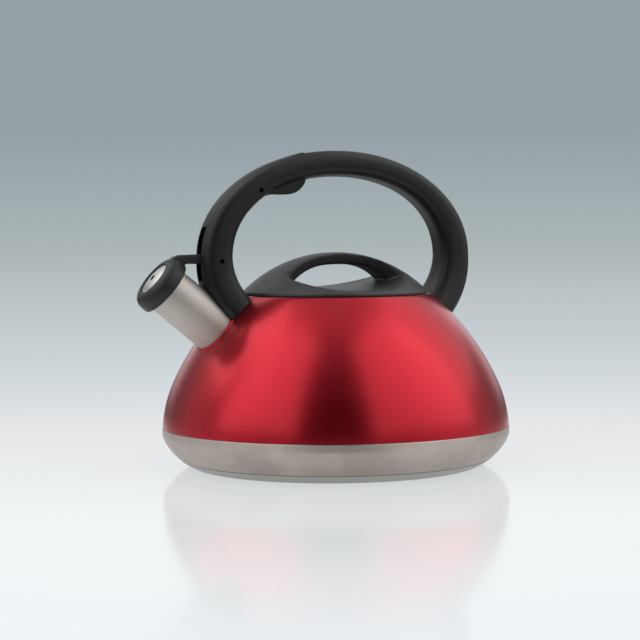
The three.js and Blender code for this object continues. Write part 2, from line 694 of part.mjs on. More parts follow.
// ---------------------------------------------------------------- whistle cap
const capFrame = SPOUT_LENGTH - CAP_OVERLAP; // back rim, from the dome on the axis
const capInner = SPOUT_RADIUS + CAP_CLEARANCE;
const capRadius = capInner + CAP_SKIRT;
const faceRadius = capRadius - CAP_SHOULDER;
const whistleRadius = faceRadius - WHISTLE_INSET;
const capSeat = CAP_OVERLAP + SEAT_GAP; // inner face over the tube's mouth
const plateSeat = CAP_DEPTH - WHISTLE_SINK - WHISTLE_SHEET - SEAT_GAP;
const throat = whistleRadius - WHISTLE_LEDGE;
const rearRadius = throat + WHISTLE_LEDGE / 2; // of the inner plate
const rearLedge = plateSeat - WHISTLE_SPACE;

function capShell() {
  const bore = whistleRadius + SEAT_GAP;
  return turned([
    point(capInner, 0),
    point(capRadius - CAP_EDGE, 0),
    point(capRadius, CAP_EDGE),
    ...superArc(point(faceRadius, CAP_BARREL), capRadius - faceRadius,
      CAP_DEPTH - CAP_BARREL, CAP_ROUNDING, 6),
    point(bore + CAP_EDGE, CAP_DEPTH),
    point(bore, CAP_DEPTH - CAP_EDGE),
    point(bore, plateSeat),
    point(throat, plateSeat),
    point(throat, rearLedge),
    point(rearRadius + SEAT_GAP, rearLedge),
    point(rearRadius + SEAT_GAP, capSeat),
    point(capInner - CAP_EDGE, capSeat),
    point(capInner, 0),
  ], TUBE_ROUND);
}

// Cap and arm are one moulding. The arm leaves its hub level, and its nose bends down over
// the cap's upper edge.
function whistleCap() {
  const half = ARM_WIDTH / 2;
  const top = armPin.y + ARM_RISE;
  const underside = top - ARM_THICKNESS;
  const rim = spoutRoot.clone().addScaledVector(spoutAlong, capFrame);
  const across = point(spoutAlong.y, -spoutAlong.x); // square to the spout, up and back
  const onCap = (distance, radius) => rim.clone()
    .addScaledVector(spoutAlong, distance).addScaledVector(across, radius);
  const outline = [
    point(armPin.x, armPin.y + ARM_HUB),
    point(armPin.x - 1.6 * ARM_HUB, top + SEAT_GAP),
    onCap(CAP_DEPTH - 0.65 * ARM_THICKNESS, capRadius + 0.47 * ARM_THICKNESS),
    onCap(CAP_DEPTH - 0.3 * ARM_THICKNESS, capRadius - 0.08 * ARM_THICKNESS),
    onCap(CAP_DEPTH - 2 * CAP_EDGE, faceRadius + CAP_SKIRT),
    onCap(CAP_DEPTH - 6 * CAP_EDGE, faceRadius + CAP_EDGE),
    onCap(capSeat - 2 * CAP_EDGE, capInner + CAP_EDGE),
    onCap(CAP_EDGE, capRadius - CAP_EDGE),
    onCap(-CAP_EDGE, capRadius + 3 * CAP_EDGE),
    point(armPin.x - 1.4 * ARM_HUB, underside),
    point(armPin.x, armPin.y - ARM_HUB),
  ];
  const hole = PIN_RADIUS + PIN_GAP;
  const eyeHole = ROD_RADIUS + ROD_EYE_GAP;
  const rodSide = crossBar(armPin, ARM_TAIL + 2 * eyeHole, eyeHigh, half + RUNNING_GAP);
  const inside = turned([
    point(0, -CUT_PAST), point(capInner, -CUT_PAST), point(capInner, 0),
    point(capInner - CAP_EDGE, capSeat), point(whistleRadius, capSeat),
    point(whistleRadius, CAP_DEPTH), point(0, CAP_DEPTH),
  ], TUBE_ROUND);
  return prism(outline, -half, half)
    .add(crossBar(armPin, ARM_HUB, -half, half))
    .subtract(rodSide)
    .subtract(onSpout(inside, capFrame))
    .add(crossBar(armPin, hole + BOSS_WALL * 0.7, 0, half))
    .add(link(armPin, armEye, ARM_HUB * 0.7, eyeHole + BOSS_WALL, eyeLow, eyeHigh))
    .subtract(crossBar(armPin, hole, -CUT_PAST, CUT_PAST))
    .subtract(crossBar(armEye, eyeHole, -CUT_PAST, CUT_PAST))
    .add(onSpout(capShell(), capFrame));
}

// Domed disc with a flat edge and a central hole: both whistle plates.
function whistlePlate(radius, dome) {
  const flat = radius - WHISTLE_LEDGE + SEAT_GAP;
  const crown = point((WHISTLE_HOLE + flat) / 2, dome * 0.75);
  return turned([
    point(WHISTLE_HOLE, dome),
    crown,
    point(flat, 0),
    point(radius, 0),
    point(radius, WHISTLE_SHEET),
    point(flat, WHISTLE_SHEET),
    point(crown.x, crown.y + WHISTLE_SHEET),
    point(WHISTLE_HOLE, dome + WHISTLE_SHEET),
    point(WHISTLE_HOLE, dome),
  ], FINE);
}

// ---------------------------------------------------------------- lid
const lidRadius = neckBore + LID_OVERHANG;
const seatRadius = lidRadius - LID_CHAMFER;
const lidSeat = neckCentre.y + SEAT_GAP
  + Math.sqrt(neckRound ** 2 - (neckCentre.x - seatRadius) ** 2);
// The cover is a part of a sphere through its upright edge and its crown.
const domeRise = LID_RISE - LID_EDGE;
const domeRadius = (lidRadius ** 2 + domeRise ** 2) / (2 * domeRise);
const domeCentre = lidSeat + LID_RISE - domeRadius;
const domeHeight = (radius) => domeCentre + Math.sqrt(domeRadius ** 2 - radius ** 2);
const scoopRadius = lidRadius - SCOOP_OFFSET - SCOOP_MARGIN;
const aboveLid = lidSeat + 2 * LID_RISE;

// Space of the two scoops and the tunnel between them. Its plan is two half circles and the
// straight sides that join them; its floor rises from the middle to the dome at that edge.
function scoopSpace() {
  const edge = [];
  for (const [side, from] of [[1, 0], [-1, 180]]) {
    const centre = point(0, side * SCOOP_OFFSET);
    for (const rim of arc(centre, scoopRadius, from, from + 180, 12)) {
      edge.push({ rim, centre });
    }
    for (const share of [0.5, 0, -0.5]) {
      const y = side * SCOOP_OFFSET * share;
      edge.push({ rim: point(-side * scoopRadius, y), centre: point(0, y) });
    }
  }
  const floor = lidSeat + SCOOP_FLOOR;
  const rings = [0.3, 0.5, 0.66, 0.8, 0.9, 1, 1.06].map((share) => edge.map((e) => {
    const plan = e.centre.clone().lerp(e.rim, share);
    const height = domeHeight(Math.min(e.rim.length(), lidRadius));
    return new THREE.Vector3(plan.x, plan.y, floor + (height - floor) * share ** SCOOP_POWER);
  }));
  return loft([...rings, rings.at(-1).map((p) => new THREE.Vector3(p.x, p.y, aboveLid))]);
}

// Grip bar across the scoops, wider at its roots, with an arched underside.
function gripBar() {
  const halfLength = (scoopRadius + lidRadius) / 2;
  const steps = 12;
  const shares = Array.from({ length: steps + 1 }, (_, i) => -1 + (2 * i) / steps);
  const along = (u) => (u * halfLength) / scoopRadius;
  const halfWidth = (u) => BAR_HALF_WIDTH + BAR_ROOT_GROWTH * along(u) ** 2;
  const plan = [
    ...shares.map((u) => point(u * halfLength, -halfWidth(u))),
    ...shares.map((u) => point(-u * halfLength, halfWidth(u))),
  ];
  const options = { depth: aboveLid, bevelEnabled: false };
  const column = solid(new THREE.ExtrudeGeometry(new THREE.Shape(plan), options));
  const arch = shares.map((u) => point(u * halfLength,
    lidSeat + BAR_UNDERSIDE - BAR_ARCH_DROP * Math.abs(along(u)) ** BAR_ARCH_POWER));
  const above = [...arch, point(halfLength, aboveLid), point(-halfLength, aboveLid)];
  return column.intersect(prism(above, -lidRadius, lidRadius));
}

// Put a solid at the place of each lid screw and take it from a body.
const lidScrewX = lidRadius - LID_SCREW_INSET;
const atLidScrews = (body, cutter) => body
  .subtract(cutter.translate([-lidScrewX, 0, 0]))
  .subtract(cutter.translate([lidScrewX, 0, 0]));
const lidScrewHole = plug(
  SCREW_RADIUS + PIN_GAP, lidSeat - CUT_PAST, lidSeat + LID_SCREW_LENGTH + SEAT_GAP, FINE);

function lidCover() {
  const rimAngle = degrees(Math.acos(lidRadius / domeRadius));
  const dome = turned([
    point(0, lidSeat),
    point(seatRadius, lidSeat),
    point(lidRadius, lidSeat + LID_CHAMFER),
    ...arc(point(0, domeCentre), domeRadius, rimAngle, 90, 9),
  ]);
  return atLidScrews(dome.subtract(scoopSpace().subtract(gripBar())), lidScrewHole);
}

const skirtRadius = neckBore - LID_SKIRT_GAP;

function lidPlate() {
  const skirt = lidSeat - LID_SKIRT_HEIGHT;
  const inner = skirtRadius - LID_PLATE_SHEET;
  return atLidScrews(turned([
    point(0, lidSeat), point(skirtRadius, lidSeat),
    point(skirtRadius, skirt), point(inner, skirt),
    point(inner, lidSeat - LID_PLATE_SHEET), point(0, lidSeat - LID_PLATE_SHEET),
  ]), lidScrewHole);
}

// Ring with a rib at its top and its bottom that wipe the neck's bore.
function lidGasket() {
  const [inner, outer] = [skirtRadius + SEAT_GAP, neckBore - SEAT_GAP];
  const top = lidSeat - GASKET_DROP;
  const bottom = top - GASKET_HEIGHT;
  return turned([
    point(inner, bottom),
    point(outer, bottom),
    point(outer, bottom + GASKET_RIB),
    point((inner + outer) / 2, (top + bottom) / 2),
    point(outer, top - GASKET_RIB),
    point(outer, top),
    point(inner, top),
    point(inner, bottom),
  ]);
}

// ---------------------------------------------------------------- fasteners
// Screw that stands on +Z, with the underside of its head at zero and its head below.
const screw = (length) => turned([
  point(0, -SCREW_HEAD_HEIGHT),
  point(SCREW_HEAD_RADIUS * 0.8, -SCREW_HEAD_HEIGHT),
  point(SCREW_HEAD_RADIUS, -SCREW_HEAD_HEIGHT * 0.4),
  point(SCREW_HEAD_RADIUS, 0),
  point(SCREW_RADIUS, 0),
  point(SCREW_RADIUS, length - SCREW_RADIUS),
  point(0, length),
], FINE);

const washer = () => plug(WASHER_RADIUS, 0, WASHER_THICKNESS, FINE)
  .subtract(plug(SCREW_RADIUS + PIN_GAP, -CUT_PAST, CUT_PAST, FINE));

// ---------------------------------------------------------------- the kettle
const lacquer = { color: 0xb3202f, roughness: 0.28, metalness: 0.75 };
const steel = { color: 0xa9a39c, roughness: 0.34, metalness: 1 };
const aluminium = { color: 0xc3c5c8, roughness: 0.45, metalness: 1 };
const moulding = { color: 0x1f2021, roughness: 0.5, metalness: 0 };
const lidMoulding = { color: 0x2b2c2d, roughness: 0.6, metalness: 0 };
const silicone = { color: 0x4a4c4e, roughness: 0.8, metalness: 0 };

const kettle = new THREE.Group();

function piece(name, body, finish, parent = kettle) {
  const mesh = new THREE.Mesh(shape(body), new THREE.MeshStandardMaterial(finish));
  mesh.name = name;
  parent.add(mesh);
  return mesh;
}

// Group whose +Z runs along the spout's axis, at a distance from the dome.
function spoutGroup(distance) {
  const group = new THREE.Group();
  const at = spoutRoot.clone().addScaledVector(spoutAlong, distance);
  group.position.set(at.x, 0, at.y);
  group.rotation.y = -radians(90 - SPOUT_ANGLE);
  kettle.add(group);
  return group;
}

piece('body_shell', bodyShell(), lacquer);
piece('base_pan', basePan(), steel);
piece('heat_spreader', heatSpreader(), aluminium);
piece('base_cap', baseCap(), steel);
piece('spout_tube', spoutTube(), steel, spoutGroup(0));

piece('handle_body', handleBody(), moulding);
piece('handle_cover', handleCover(), moulding);
piece('trigger', trigger(), moulding);
piece('trigger_pin', crossPin(triggerPin), steel);
piece('trigger_spring', triggerSpring(), steel);
piece('push_rod', pushRod(), steel);
piece('arm_pin', crossPin(armPin), steel);

piece('whistle_cap', whistleCap(), moulding);
const capGroup = spoutGroup(capFrame);
const outerPlate = piece(
  'whistle_plate_outer', whistlePlate(whistleRadius, WHISTLE_DOME), steel, capGroup);
outerPlate.position.z = plateSeat + SEAT_GAP;
const innerPlate = piece(
  'whistle_plate_inner', whistlePlate(rearRadius, 0), steel, capGroup);
innerPlate.position.z = rearLedge - SEAT_GAP - WHISTLE_SHEET;

piece('lid_cover', lidCover(), lidMoulding);
piece('lid_plate', lidPlate(), steel);
piece('lid_gasket', lidGasket(), silicone);
[-lidScrewX, lidScrewX].forEach((x, i) => {
  const mesh = piece(`lid_screw_${i + 1}`, screw(LID_SCREW_LENGTH), steel);
  mesh.position.set(x, 0, lidSeat - LID_PLATE_SHEET);
});

const washerFoot = -SHELL_WALL - WASHER_SEAT - WASHER_THICKNESS; // on the dome's normal
for (const foot of feet) {
  const shank = screw(FOOT_SCREW_LENGTH - washerFoot - SCREW_RADIUS / 2);
  piece(`handle_washer_${foot.end}`, onFoot(washer().translate([0, 0, washerFoot]), foot), steel);
  piece(`handle_screw_${foot.end}`, onFoot(shank.translate([0, 0, washerFoot]), foot), steel);
}

export default kettle;
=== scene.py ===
# %% [markdown]
# # A stovetop whistling kettle
# The kettle is a red lacquered steel vessel on a satin steel pan. A black moulded arch carries
# it, a trigger under the arch lifts the whistle cap off the spout, and a lid with a grip bar
# closes the filling neck. This lesson builds each piece as a surface worked out with numpy,
# gives each finish its own nodes, and ends with a plain studio and a camera.

import json

import bmesh
import bpy
import numpy as np
from mathutils import Matrix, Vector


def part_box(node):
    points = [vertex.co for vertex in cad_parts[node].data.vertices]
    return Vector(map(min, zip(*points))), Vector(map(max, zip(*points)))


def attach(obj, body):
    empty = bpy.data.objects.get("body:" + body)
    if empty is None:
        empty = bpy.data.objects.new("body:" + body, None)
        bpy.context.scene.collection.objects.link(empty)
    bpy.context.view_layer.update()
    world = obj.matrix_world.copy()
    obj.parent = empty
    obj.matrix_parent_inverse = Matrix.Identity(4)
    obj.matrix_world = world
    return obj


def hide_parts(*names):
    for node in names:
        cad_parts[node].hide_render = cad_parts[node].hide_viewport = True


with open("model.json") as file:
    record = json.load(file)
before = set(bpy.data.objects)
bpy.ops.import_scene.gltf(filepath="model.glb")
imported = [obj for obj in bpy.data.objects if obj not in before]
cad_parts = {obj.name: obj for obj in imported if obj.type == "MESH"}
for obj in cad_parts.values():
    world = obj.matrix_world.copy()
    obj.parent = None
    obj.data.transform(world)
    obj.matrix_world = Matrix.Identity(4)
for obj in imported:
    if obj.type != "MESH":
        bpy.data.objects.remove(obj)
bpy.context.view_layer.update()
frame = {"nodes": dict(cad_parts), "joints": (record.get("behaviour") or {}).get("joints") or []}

# %% [markdown]
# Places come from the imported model: the box of a node gives where a piece starts and ends, and
# the joints give the pins. Shapes are worked out in millimetres, as a maker would, and become
# metres when a mesh is made.

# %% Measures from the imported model
MILLI = 0.001


def reach(node):
    """Lowest and highest corner of a node's box, in millimetres."""
    return tuple(np.array(corner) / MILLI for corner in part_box(node))


def pin_place(name):
    """A joint's place in side view (x, z), in millimetres."""
    joint = next(j for j in frame["joints"] if j["name"] == name)
    x, _, z = joint["pos_m"]
    return np.array([x, z]) / MILLI


BODY_RADIUS = reach("base_pan")[1][1]
SEAM, NECK_TOP = (corner[2] for corner in reach("body_shell"))
LID_SEAT, LID_TOP = (corner[2] for corner in reach("lid_cover"))
LID_RADIUS = reach("lid_cover")[1][0]
TRIGGER_PIN, ARM_PIN = pin_place("trigger_pull"), pin_place("cap_lift")
GAP, PIN_HOLE, SCREW_HOLE = 0.3, 1.55, 2.2
print("body radius", BODY_RADIUS, "seam", SEAM, "neck", NECK_TOP, "lid", LID_SEAT, LID_TOP)
print("trigger pin", TRIGGER_PIN, "arm pin", ARM_PIN)

# %% [markdown]
# Every surface is a grid of points, a function of two parameters. One helper numbers the four
# corners of each grid cell, joins a ring to itself, closes poles, and turns the faces outwards.

# %% Grids that become meshes
def cells(rows, columns, ring_rows, ring_columns):
    """Corner numbers of each cell: (r, c), (r+1, c), (r+1, c+1), (r, c+1)."""
    number = np.arange(rows * columns).reshape(rows, columns)
    steps = ((0, 0), (-1, 0), (-1, -1), (0, -1))
    corners = np.stack([np.roll(number, step, (0, 1)) for step in steps], -1)
    return corners[:rows - 1 + ring_rows, :columns - 1 + ring_columns].reshape(-1, 4)


def clean(mesh):
    """Merge doubled points, so that seams and poles close, cut faces of many corners into
    triangles, and turn all faces outwards."""
    work = bmesh.new()
    work.from_mesh(mesh)
    bmesh.ops.remove_doubles(work, verts=work.verts, dist=1e-7)
    wide = [face for face in work.faces if len(face.verts) > 4]
    bmesh.ops.triangulate(work, faces=wide)
    bmesh.ops.recalc_face_normals(work, faces=work.faces)
    work.to_mesh(mesh)
    work.free()


def skin(name, grid, ring_rows=False, ring_columns=True, ends=False):
    """Object from a grid of points in millimetres; ends closes the first and the last row."""
    rows, columns = grid.shape[:2]
    faces = cells(rows, columns, ring_rows, ring_columns).tolist()
    if ends:
        faces += [list(range(columns)), list(range((rows - 1) * columns, rows * columns))]
    mesh = bpy.data.meshes.new(name)
    mesh.from_pydata((grid.reshape(-1, 3) * MILLI).tolist(), [], faces)
    clean(mesh)
    piece = bpy.data.objects.new(name, mesh)
    bpy.context.collection.objects.link(piece)
    return piece


def bake(piece):
    """Replace a piece's mesh by what its modifiers make of it."""
    graph = bpy.context.evaluated_depsgraph_get()
    mesh = bpy.data.meshes.new_from_object(piece.evaluated_get(graph))
    piece.modifiers.clear()
    old, piece.data = piece.data, mesh
    bpy.data.meshes.remove(old)
    return piece


def combine(piece, operation, *tools):
    """One boolean step for each tool; the tools are used up."""
    for tool in tools:
        step = piece.modifiers.new("step", "BOOLEAN")
        step.operation, step.solver, step.object = operation, "EXACT", tool
        bake(piece)
        bpy.data.objects.remove(tool)
    return piece


def cut(piece, *tools):
    return combine(piece, "DIFFERENCE", *tools)


def unite(piece, *tools):
    return combine(piece, "UNION", *tools)


# %% [markdown]
# An outline is an array of points. A few short helpers make points from their coordinates, join
# lines, and give directions, so that the shapes below read as they would on a drawing.

# %% Points and directions
def points(*parts):
    """Points from arrays, or plain numbers, of their coordinates."""
    return np.stack(np.broadcast_arrays(*parts), -1)


def joined(*lines):
    """One line from several."""
    return np.concatenate(lines)


def at_angle(degrees):
    """Unit vectors at angles in degrees: (cos, sin)."""
    turned = np.radians(degrees)
    return points(np.cos(turned), np.sin(turned))


def unit(vector):
    """Vectors of length one."""
    return vector / np.linalg.norm(vector, axis=-1, keepdims=True)


def square_to(vector):
    """Side view vectors turned by a quarter: (x, z) becomes (z, -x)."""
    return points(vector[..., 1], -vector[..., 0])


def circle_line(centre, radius, start, end, steps):
    """Points on a circle between two angles in degrees."""
    return centre + radius * at_angle(np.linspace(start, end, steps + 1))


# %% [markdown]
# A turned piece is an outline of radius and height that goes round an axis, and a flat piece is
# an outline in side view carried across. A pressed or moulded edge is never dead sharp, so
# `soften` replaces the corners of an outline by arcs.

# %% Round corners, turned pieces and flat pieces
def soften(corners, radius, steps=4):
    """Closed outline with round corners: each arc is (1-s)^2 A + 2s(1-s) w P + s^2 B over its
    weights, where w, the sine of half the corner, makes it a part of a circle."""
    p = np.asarray(corners, float)
    radius = np.broadcast_to(np.asarray(radius, float), len(p))
    before, after = np.roll(p, 1, 0) - p, np.roll(p, -1, 0) - p
    size_b, size_a = np.linalg.norm(before, axis=1), np.linalg.norm(after, axis=1)
    u, v = before / size_b[:, None], after / size_a[:, None]
    half = np.arccos(np.clip((u * v).sum(1), -1, 1)) / 2
    step = np.minimum(radius / np.tan(half), 0.48 * np.minimum(size_b, size_a))[:, None, None]
    s = np.linspace(0, 1, steps + 1)[None, :, None]
    w = np.sin(half)[:, None, None]
    a, b, c = (1 - s) ** 2, 2 * s * (1 - s) * w, s**2
    middle = p[:, None]
    arcs = a * (middle + u[:, None] * step) + b * middle + c * (middle + v[:, None] * step)
    return (arcs / (a + b + c)).reshape(-1, 2)


def turn(outline, segments=256):
    """Surface of revolution: x = r cos(a), y = r sin(a), z = h for each outline point (r, h)."""
    angle = np.linspace(0, 2 * np.pi, segments, endpoint=False)
    radius, height = np.asarray(outline).T[:, :, None]
    return points(radius * np.cos(angle), radius * np.sin(angle), height)


def stand(grid, place, angle):
    """Turn points that stand on +Z so that they stand on a direction of the side view."""
    turned = np.radians(90 - angle)
    x, y, z = np.moveaxis(grid, -1, 0)
    return points(place[0] + x * np.cos(turned) + z * np.sin(turned), y,
                  place[1] - x * np.sin(turned) + z * np.cos(turned))


def slab(name, outline, low, high, edge=0.0, steps=4):
    """Flat piece: a side view outline carried across from low to high. Each row moves inwards
    by edge (1 - cos q) and out by edge sin q, which rounds both rims."""
    outline = np.asarray(outline, float)
    q = np.linspace(np.pi / 2, 0, steps + 1 if edge else 1)
    inset, side = edge * (1 - np.cos(q)), edge * (1 - np.sin(q))
    across, inset = joined(low + side, (high - side)[::-1]), joined(inset, inset[::-1])
    normal = unit(square_to(np.roll(outline, -1, 0) - np.roll(outline, 1, 0)))
    x, z = outline.T
    normal *= np.sign((x * np.roll(z, -1) - z * np.roll(x, -1)).sum())
    flat = outline - normal * inset[:, None, None]
    return skin(name, np.insert(flat, 1, across[:, None], axis=2), ends=True)


def bar(name, place, radius, low, high, segments=96):
    """Round bar across the kettle."""
    return slab(name, circle_line(place, radius, 0, 360 - 360 / segments, segments - 1), low, high)


def plug(name, radius, low, high, place, angle, segments=128):
    """Round plug that stands on a direction of the side view: the usual cutter."""
    outline = [(0, low), (radius, low), (radius, high), (0, high)]
    return skin(name, stand(turn(outline, segments), place, angle))


# %% [markdown]
# Shader maths reads better as Python. A small class wraps a node's socket, so `1 - mask * 0.3`
# adds the Math nodes itself. Every other node comes from one method that takes the node's
# type, its settings and its sockets.

# %% Nodes as Python expressions
def maths(operation, reflected=False):
    """Method that adds one Math node; reflected is for a number before the operator."""
    def method(self, other):
        first, second = (other, self) if reflected else (self, other)
        return self.board.node("Math", {"operation": operation}, {0: first, 1: second})
    return method


class Field:
    """A socket whose value changes over the surface."""

    def __init__(self, board, socket):
        self.board, self.socket = board, socket

    __add__, __radd__ = maths("ADD"), maths("ADD", True)
    __sub__, __rsub__ = maths("SUBTRACT"), maths("SUBTRACT", True)
    __mul__, __rmul__ = maths("MULTIPLY"), maths("MULTIPLY", True)
    __truediv__, __rtruediv__ = maths("DIVIDE"), maths("DIVIDE", True)
    __pow__, __rpow__ = maths("POWER"), maths("POWER", True)


class Board:
    """A node tree and the few ways in which this lesson adds nodes to it."""

    def __init__(self, tree):
        self.tree = tree
        tree.nodes.clear()

    def node(self, kind, settings=None, sockets=None, output=0):
        """Any node, by its type after "ShaderNode": settings first, a ramp's stops among them,
        then values or links."""
        node = self.tree.nodes.new("ShaderNode" + kind)
        for key, value in (settings or {}).items():
            if key == "stops":
                ramp = node.color_ramp.elements
                while len(ramp) < len(value):
                    ramp.new(1)
                for element, (place, colour) in zip(ramp, value):
                    element.position, element.color = place, (*colour, 1)
            else:
                setattr(node, key, value)
        for key, value in (sockets or {}).items():
            self.feed(node.inputs[key], value)
        return Field(self, node.outputs[output]) if len(node.outputs) else None

    def feed(self, socket, value):
        """Link a field to a socket, or set the socket; a colour gets its fourth number here."""
        if isinstance(value, Field):
            self.tree.links.new(value.socket, socket)
        else:
            socket.default_value = (*value, 1.0) if socket.type == "RGBA" else value

    def named(self, kind, *names):
        """Outputs of a new node by their names."""
        outputs = self.node(kind).socket.node.outputs
        return [Field(self, outputs[name]) for name in names]

    def split(self, vector):
        """The three parts of a vector."""
        first = self.node("SeparateXYZ", None, {0: vector})
        return [Field(self, socket) for socket in first.socket.node.outputs]

    def about_axis(self, place):
        """The three parts of a place, and its distance from the z axis."""
        x, y, z = self.split(place)
        return x, y, z, (x * x + y * y) ** 0.5

    def ramp(self, value, low, high, *stops):
        """Colours at stops, (place, colour), over a range of the value."""
        place = self.node("MapRange", None, {0: value, 1: low, 2: high})
        return self.node("ValToRGB", {"stops": stops}, {0: place})

    def level(self, value, low, high):
        """Smooth step from 0 to 1 between two values."""
        return self.node("MapRange", {"interpolation_type": "SMOOTHSTEP"},
                         {0: value, 1: low, 2: high})

    def blend(self, mask, first, second):
        """Colour mixed by a mask."""
        return self.node("Mix", {"data_type": "RGBA"},
                         {0: mask, 6: first, 7: second}, output=2)


class Finish(Board):
    """A material with one Principled shader; plain numbers go straight on its sockets."""

    def __init__(self, name, **plain):
        self.material = bpy.data.materials.new(name)
        self.material.use_nodes = True
        super().__init__(self.material.node_tree)
        surface = self.node("BsdfPrincipled")
        self.shader = surface.socket.node
        self.node("OutputMaterial", None, {0: surface})
        self.set(**plain)
        self.place, = self.named("TexCoord", "Object")

    def set(self, **values):
        """Values or fields for the shader: Base_Color=..., Roughness=..."""
        for name, value in values.items():
            self.feed(self.shader.inputs[name.replace("_", " ")], value)

    def noise(self, scale, detail, roughness=0.5, place=None):
        """Noise over the piece, or over another place."""
        sockets = {"Vector": place or self.place, "Scale": scale, "Detail": detail,
                   "Roughness": roughness}
        return self.node("TexNoise", None, sockets)

    def bump(self, height, distance, strength):
        """Normal from a height field; distance is in metres."""
        sockets = {"Strength": strength, "Distance": distance, "Height": height}
        self.set(Normal=self.node("Bump", None, sockets))

    def tones(self, mask, dark, light, roughness, change):
        """Two close tones, and a drift in roughness, that follow one mask."""
        self.set(Base_Color=self.blend(mask, dark, light), Roughness=roughness + mask * change)


# %% [markdown]
# ## The finishes
# Spun steel is brushed while it turns, so its lines run round the axis. A noise that changes
# fast along the wall and slowly round it gives those lines: the wall's length is close to
# height minus radius, and the unit circle carries the slow part without a seam.

# %% Lines that run round an axis
def spun_lines(finish, fine, around, place=None):
    """Noise at (cos a, sin a) * around and (z - r) * fine, in metres."""
    x, y, z, radius = finish.about_axis(place or finish.place)
    parts = {0: x / radius * around, 1: y / radius * around, 2: (z - radius) * fine}
    return finish.noise(1.0, 3.0, 0.6, finish.node("CombineXYZ", None, parts))


# %% [markdown]
# The vessel is steel that is brushed, then sprayed with a transparent red lacquer. It is metal
# in its reflections, with a clear coat over it. Low cloudy changes in colour and roughness
# stand for the uneven spray and for faint hand marks.

# %% Red lacquer on brushed steel
lacquer = Finish("red_lacquer", Metallic=0.92, Anisotropic=0.35, Anisotropic_Rotation=0.25,
                 Coat_Weight=0.3, Coat_Roughness=0.2, Coat_IOR=1.45)
clouds = lacquer.noise(28.0, 3.0, 0.55)
specks = lacquer.noise(2600.0, 1.0)
red = lacquer.blend(specks * 0.5 + clouds * 0.5, (0.50, 0.010, 0.022), (0.60, 0.021, 0.037))
lacquer.set(Roughness=0.26 + clouds * 0.08)
lacquer.bump(spun_lines(lacquer, 4200.0, 3.0), 0.00002, 0.35)
print("finish", lacquer.material.name)

# %% [markdown]
# The pan and the base are bare spun steel with the same lines: stains from heat tint the pan,
# and scuffs from the hob dull the base.

# %% Satin steel of the pan and the base
pan_steel = Finish("satin_steel", Metallic=1.0, Anisotropic=0.6, Anisotropic_Rotation=0.25)
lines = spun_lines(pan_steel, 3000.0, 4.0)
stains = pan_steel.noise(22.0, 4.0, 0.6)
stained = pan_steel.level(stains, 0.34, 0.66)
pan_steel.set(
    Base_Color=pan_steel.blend(stained, (0.44, 0.381, 0.340), (0.56, 0.490, 0.446)),
    Roughness=0.34 + stains * 0.10 + lines * 0.08,
)
pan_steel.bump(lines, 0.00003, 0.5)

base_steel = Finish("base_steel", Metallic=1.0, Anisotropic=0.5, Anisotropic_Rotation=0.25)
scuffs = base_steel.noise(60.0, 5.0, 0.7)
base_steel.tones(scuffs, (0.42, 0.40, 0.38), (0.62, 0.60, 0.58), 0.32, 0.16)
base_steel.bump(spun_lines(base_steel, 1500.0, 2.0), 0.00004, 0.5)

# %% [markdown]
# The tube and the whistle plates stand on another axis. Mapping nodes turn their place into
# the tube's own frame first, so the lines run round the tube. A mask on the distance from the
# axis paints shade: a thin black ring at the edge of the whistle's hole, so that the hole reads
# dark.

# %% Steel in the tube's frame
SPOUT_ANGLE = 39.5
BELLY_ARC, DOME_ARC, DOME_START = 78.2, 151.1, 23.5
WIDEST = SEAM - 4.6
BELLY = np.array([BODY_RADIUS - BELLY_ARC, WIDEST])
DOME = BELLY + (BELLY_ARC - DOME_ARC) * at_angle(DOME_START)
lean = at_angle(SPOUT_ANGLE)
SPOUT_ROOT, SPOUT_ALONG = [-1, 1] * (DOME + DOME_ARC * lean), [-1, 1] * lean
SPOUT_SQUARE = square_to(SPOUT_ALONG)
UP_SPOUT = (SPOUT_ROOT, 180 - SPOUT_ANGLE)
print("spout root", SPOUT_ROOT)


def tube_frame(finish):
    """Place seen from the spout: its root is the origin, and z runs out along the tube."""
    x, z = SPOUT_ROOT * MILLI
    moved = finish.node(
        "Mapping", None, {"Vector": finish.place, "Location": (-x, 0, -z)})
    turned = (0, np.radians(90 - SPOUT_ANGLE), 0)
    return finish.node("Mapping", None, {"Vector": moved, "Rotation": turned})


tube_steel = Finish("spout_steel", Metallic=1.0)
hazes = tube_steel.noise(45.0, 3.0)
tube_steel.tones(hazes, (0.56, 0.53, 0.485), (0.69, 0.66, 0.61), 0.54, 0.10)
tube_steel.bump(spun_lines(tube_steel, 3500.0, 3.0, tube_frame(tube_steel)), 0.00003, 0.4)

HOLE = 1.9
sheet_steel = Finish("whistle_steel", Metallic=1.0)
on_tube = tube_frame(sheet_steel)
from_hole = sheet_steel.about_axis(on_tube)[3]
spots = sheet_steel.noise(500.0, 4.0, 0.7)
bright = sheet_steel.blend(spots, (0.58, 0.568, 0.552), (0.72, 0.71, 0.695))
# Painted shade: the steel turns black in a thin ring at the edge of the hole.
painted_hole_shade = sheet_steel.level(from_hole, (HOLE + 0.3) * MILLI, (HOLE + 0.05) * MILLI)
sheet_steel.set(Base_Color=sheet_steel.blend(painted_hole_shade, bright, (0.012, 0.012, 0.012)),
                  Roughness=0.38 + spots * 0.12)
sheet_steel.bump(spun_lines(sheet_steel, 5000.0, 6.0, on_tube) + spots, 0.00003, 0.5)

# %% [markdown]
# The small hardware is drawn wire, turned bar and stamped sheet without a polish. One noise is
# enough for each of those: it moves tone, gloss and height together, as dirt and scale do.

# %% Hardware, the heat spreader and the gasket
def mottled(name, noise, tones, roughness, bump, **plain):
    """Finish whose tone, roughness and height all follow one noise."""
    finish = Finish(name, **plain)
    mask = finish.noise(*noise)
    finish.tones(mask, *tones, *roughness)
    finish.bump(mask, *bump)
    return finish


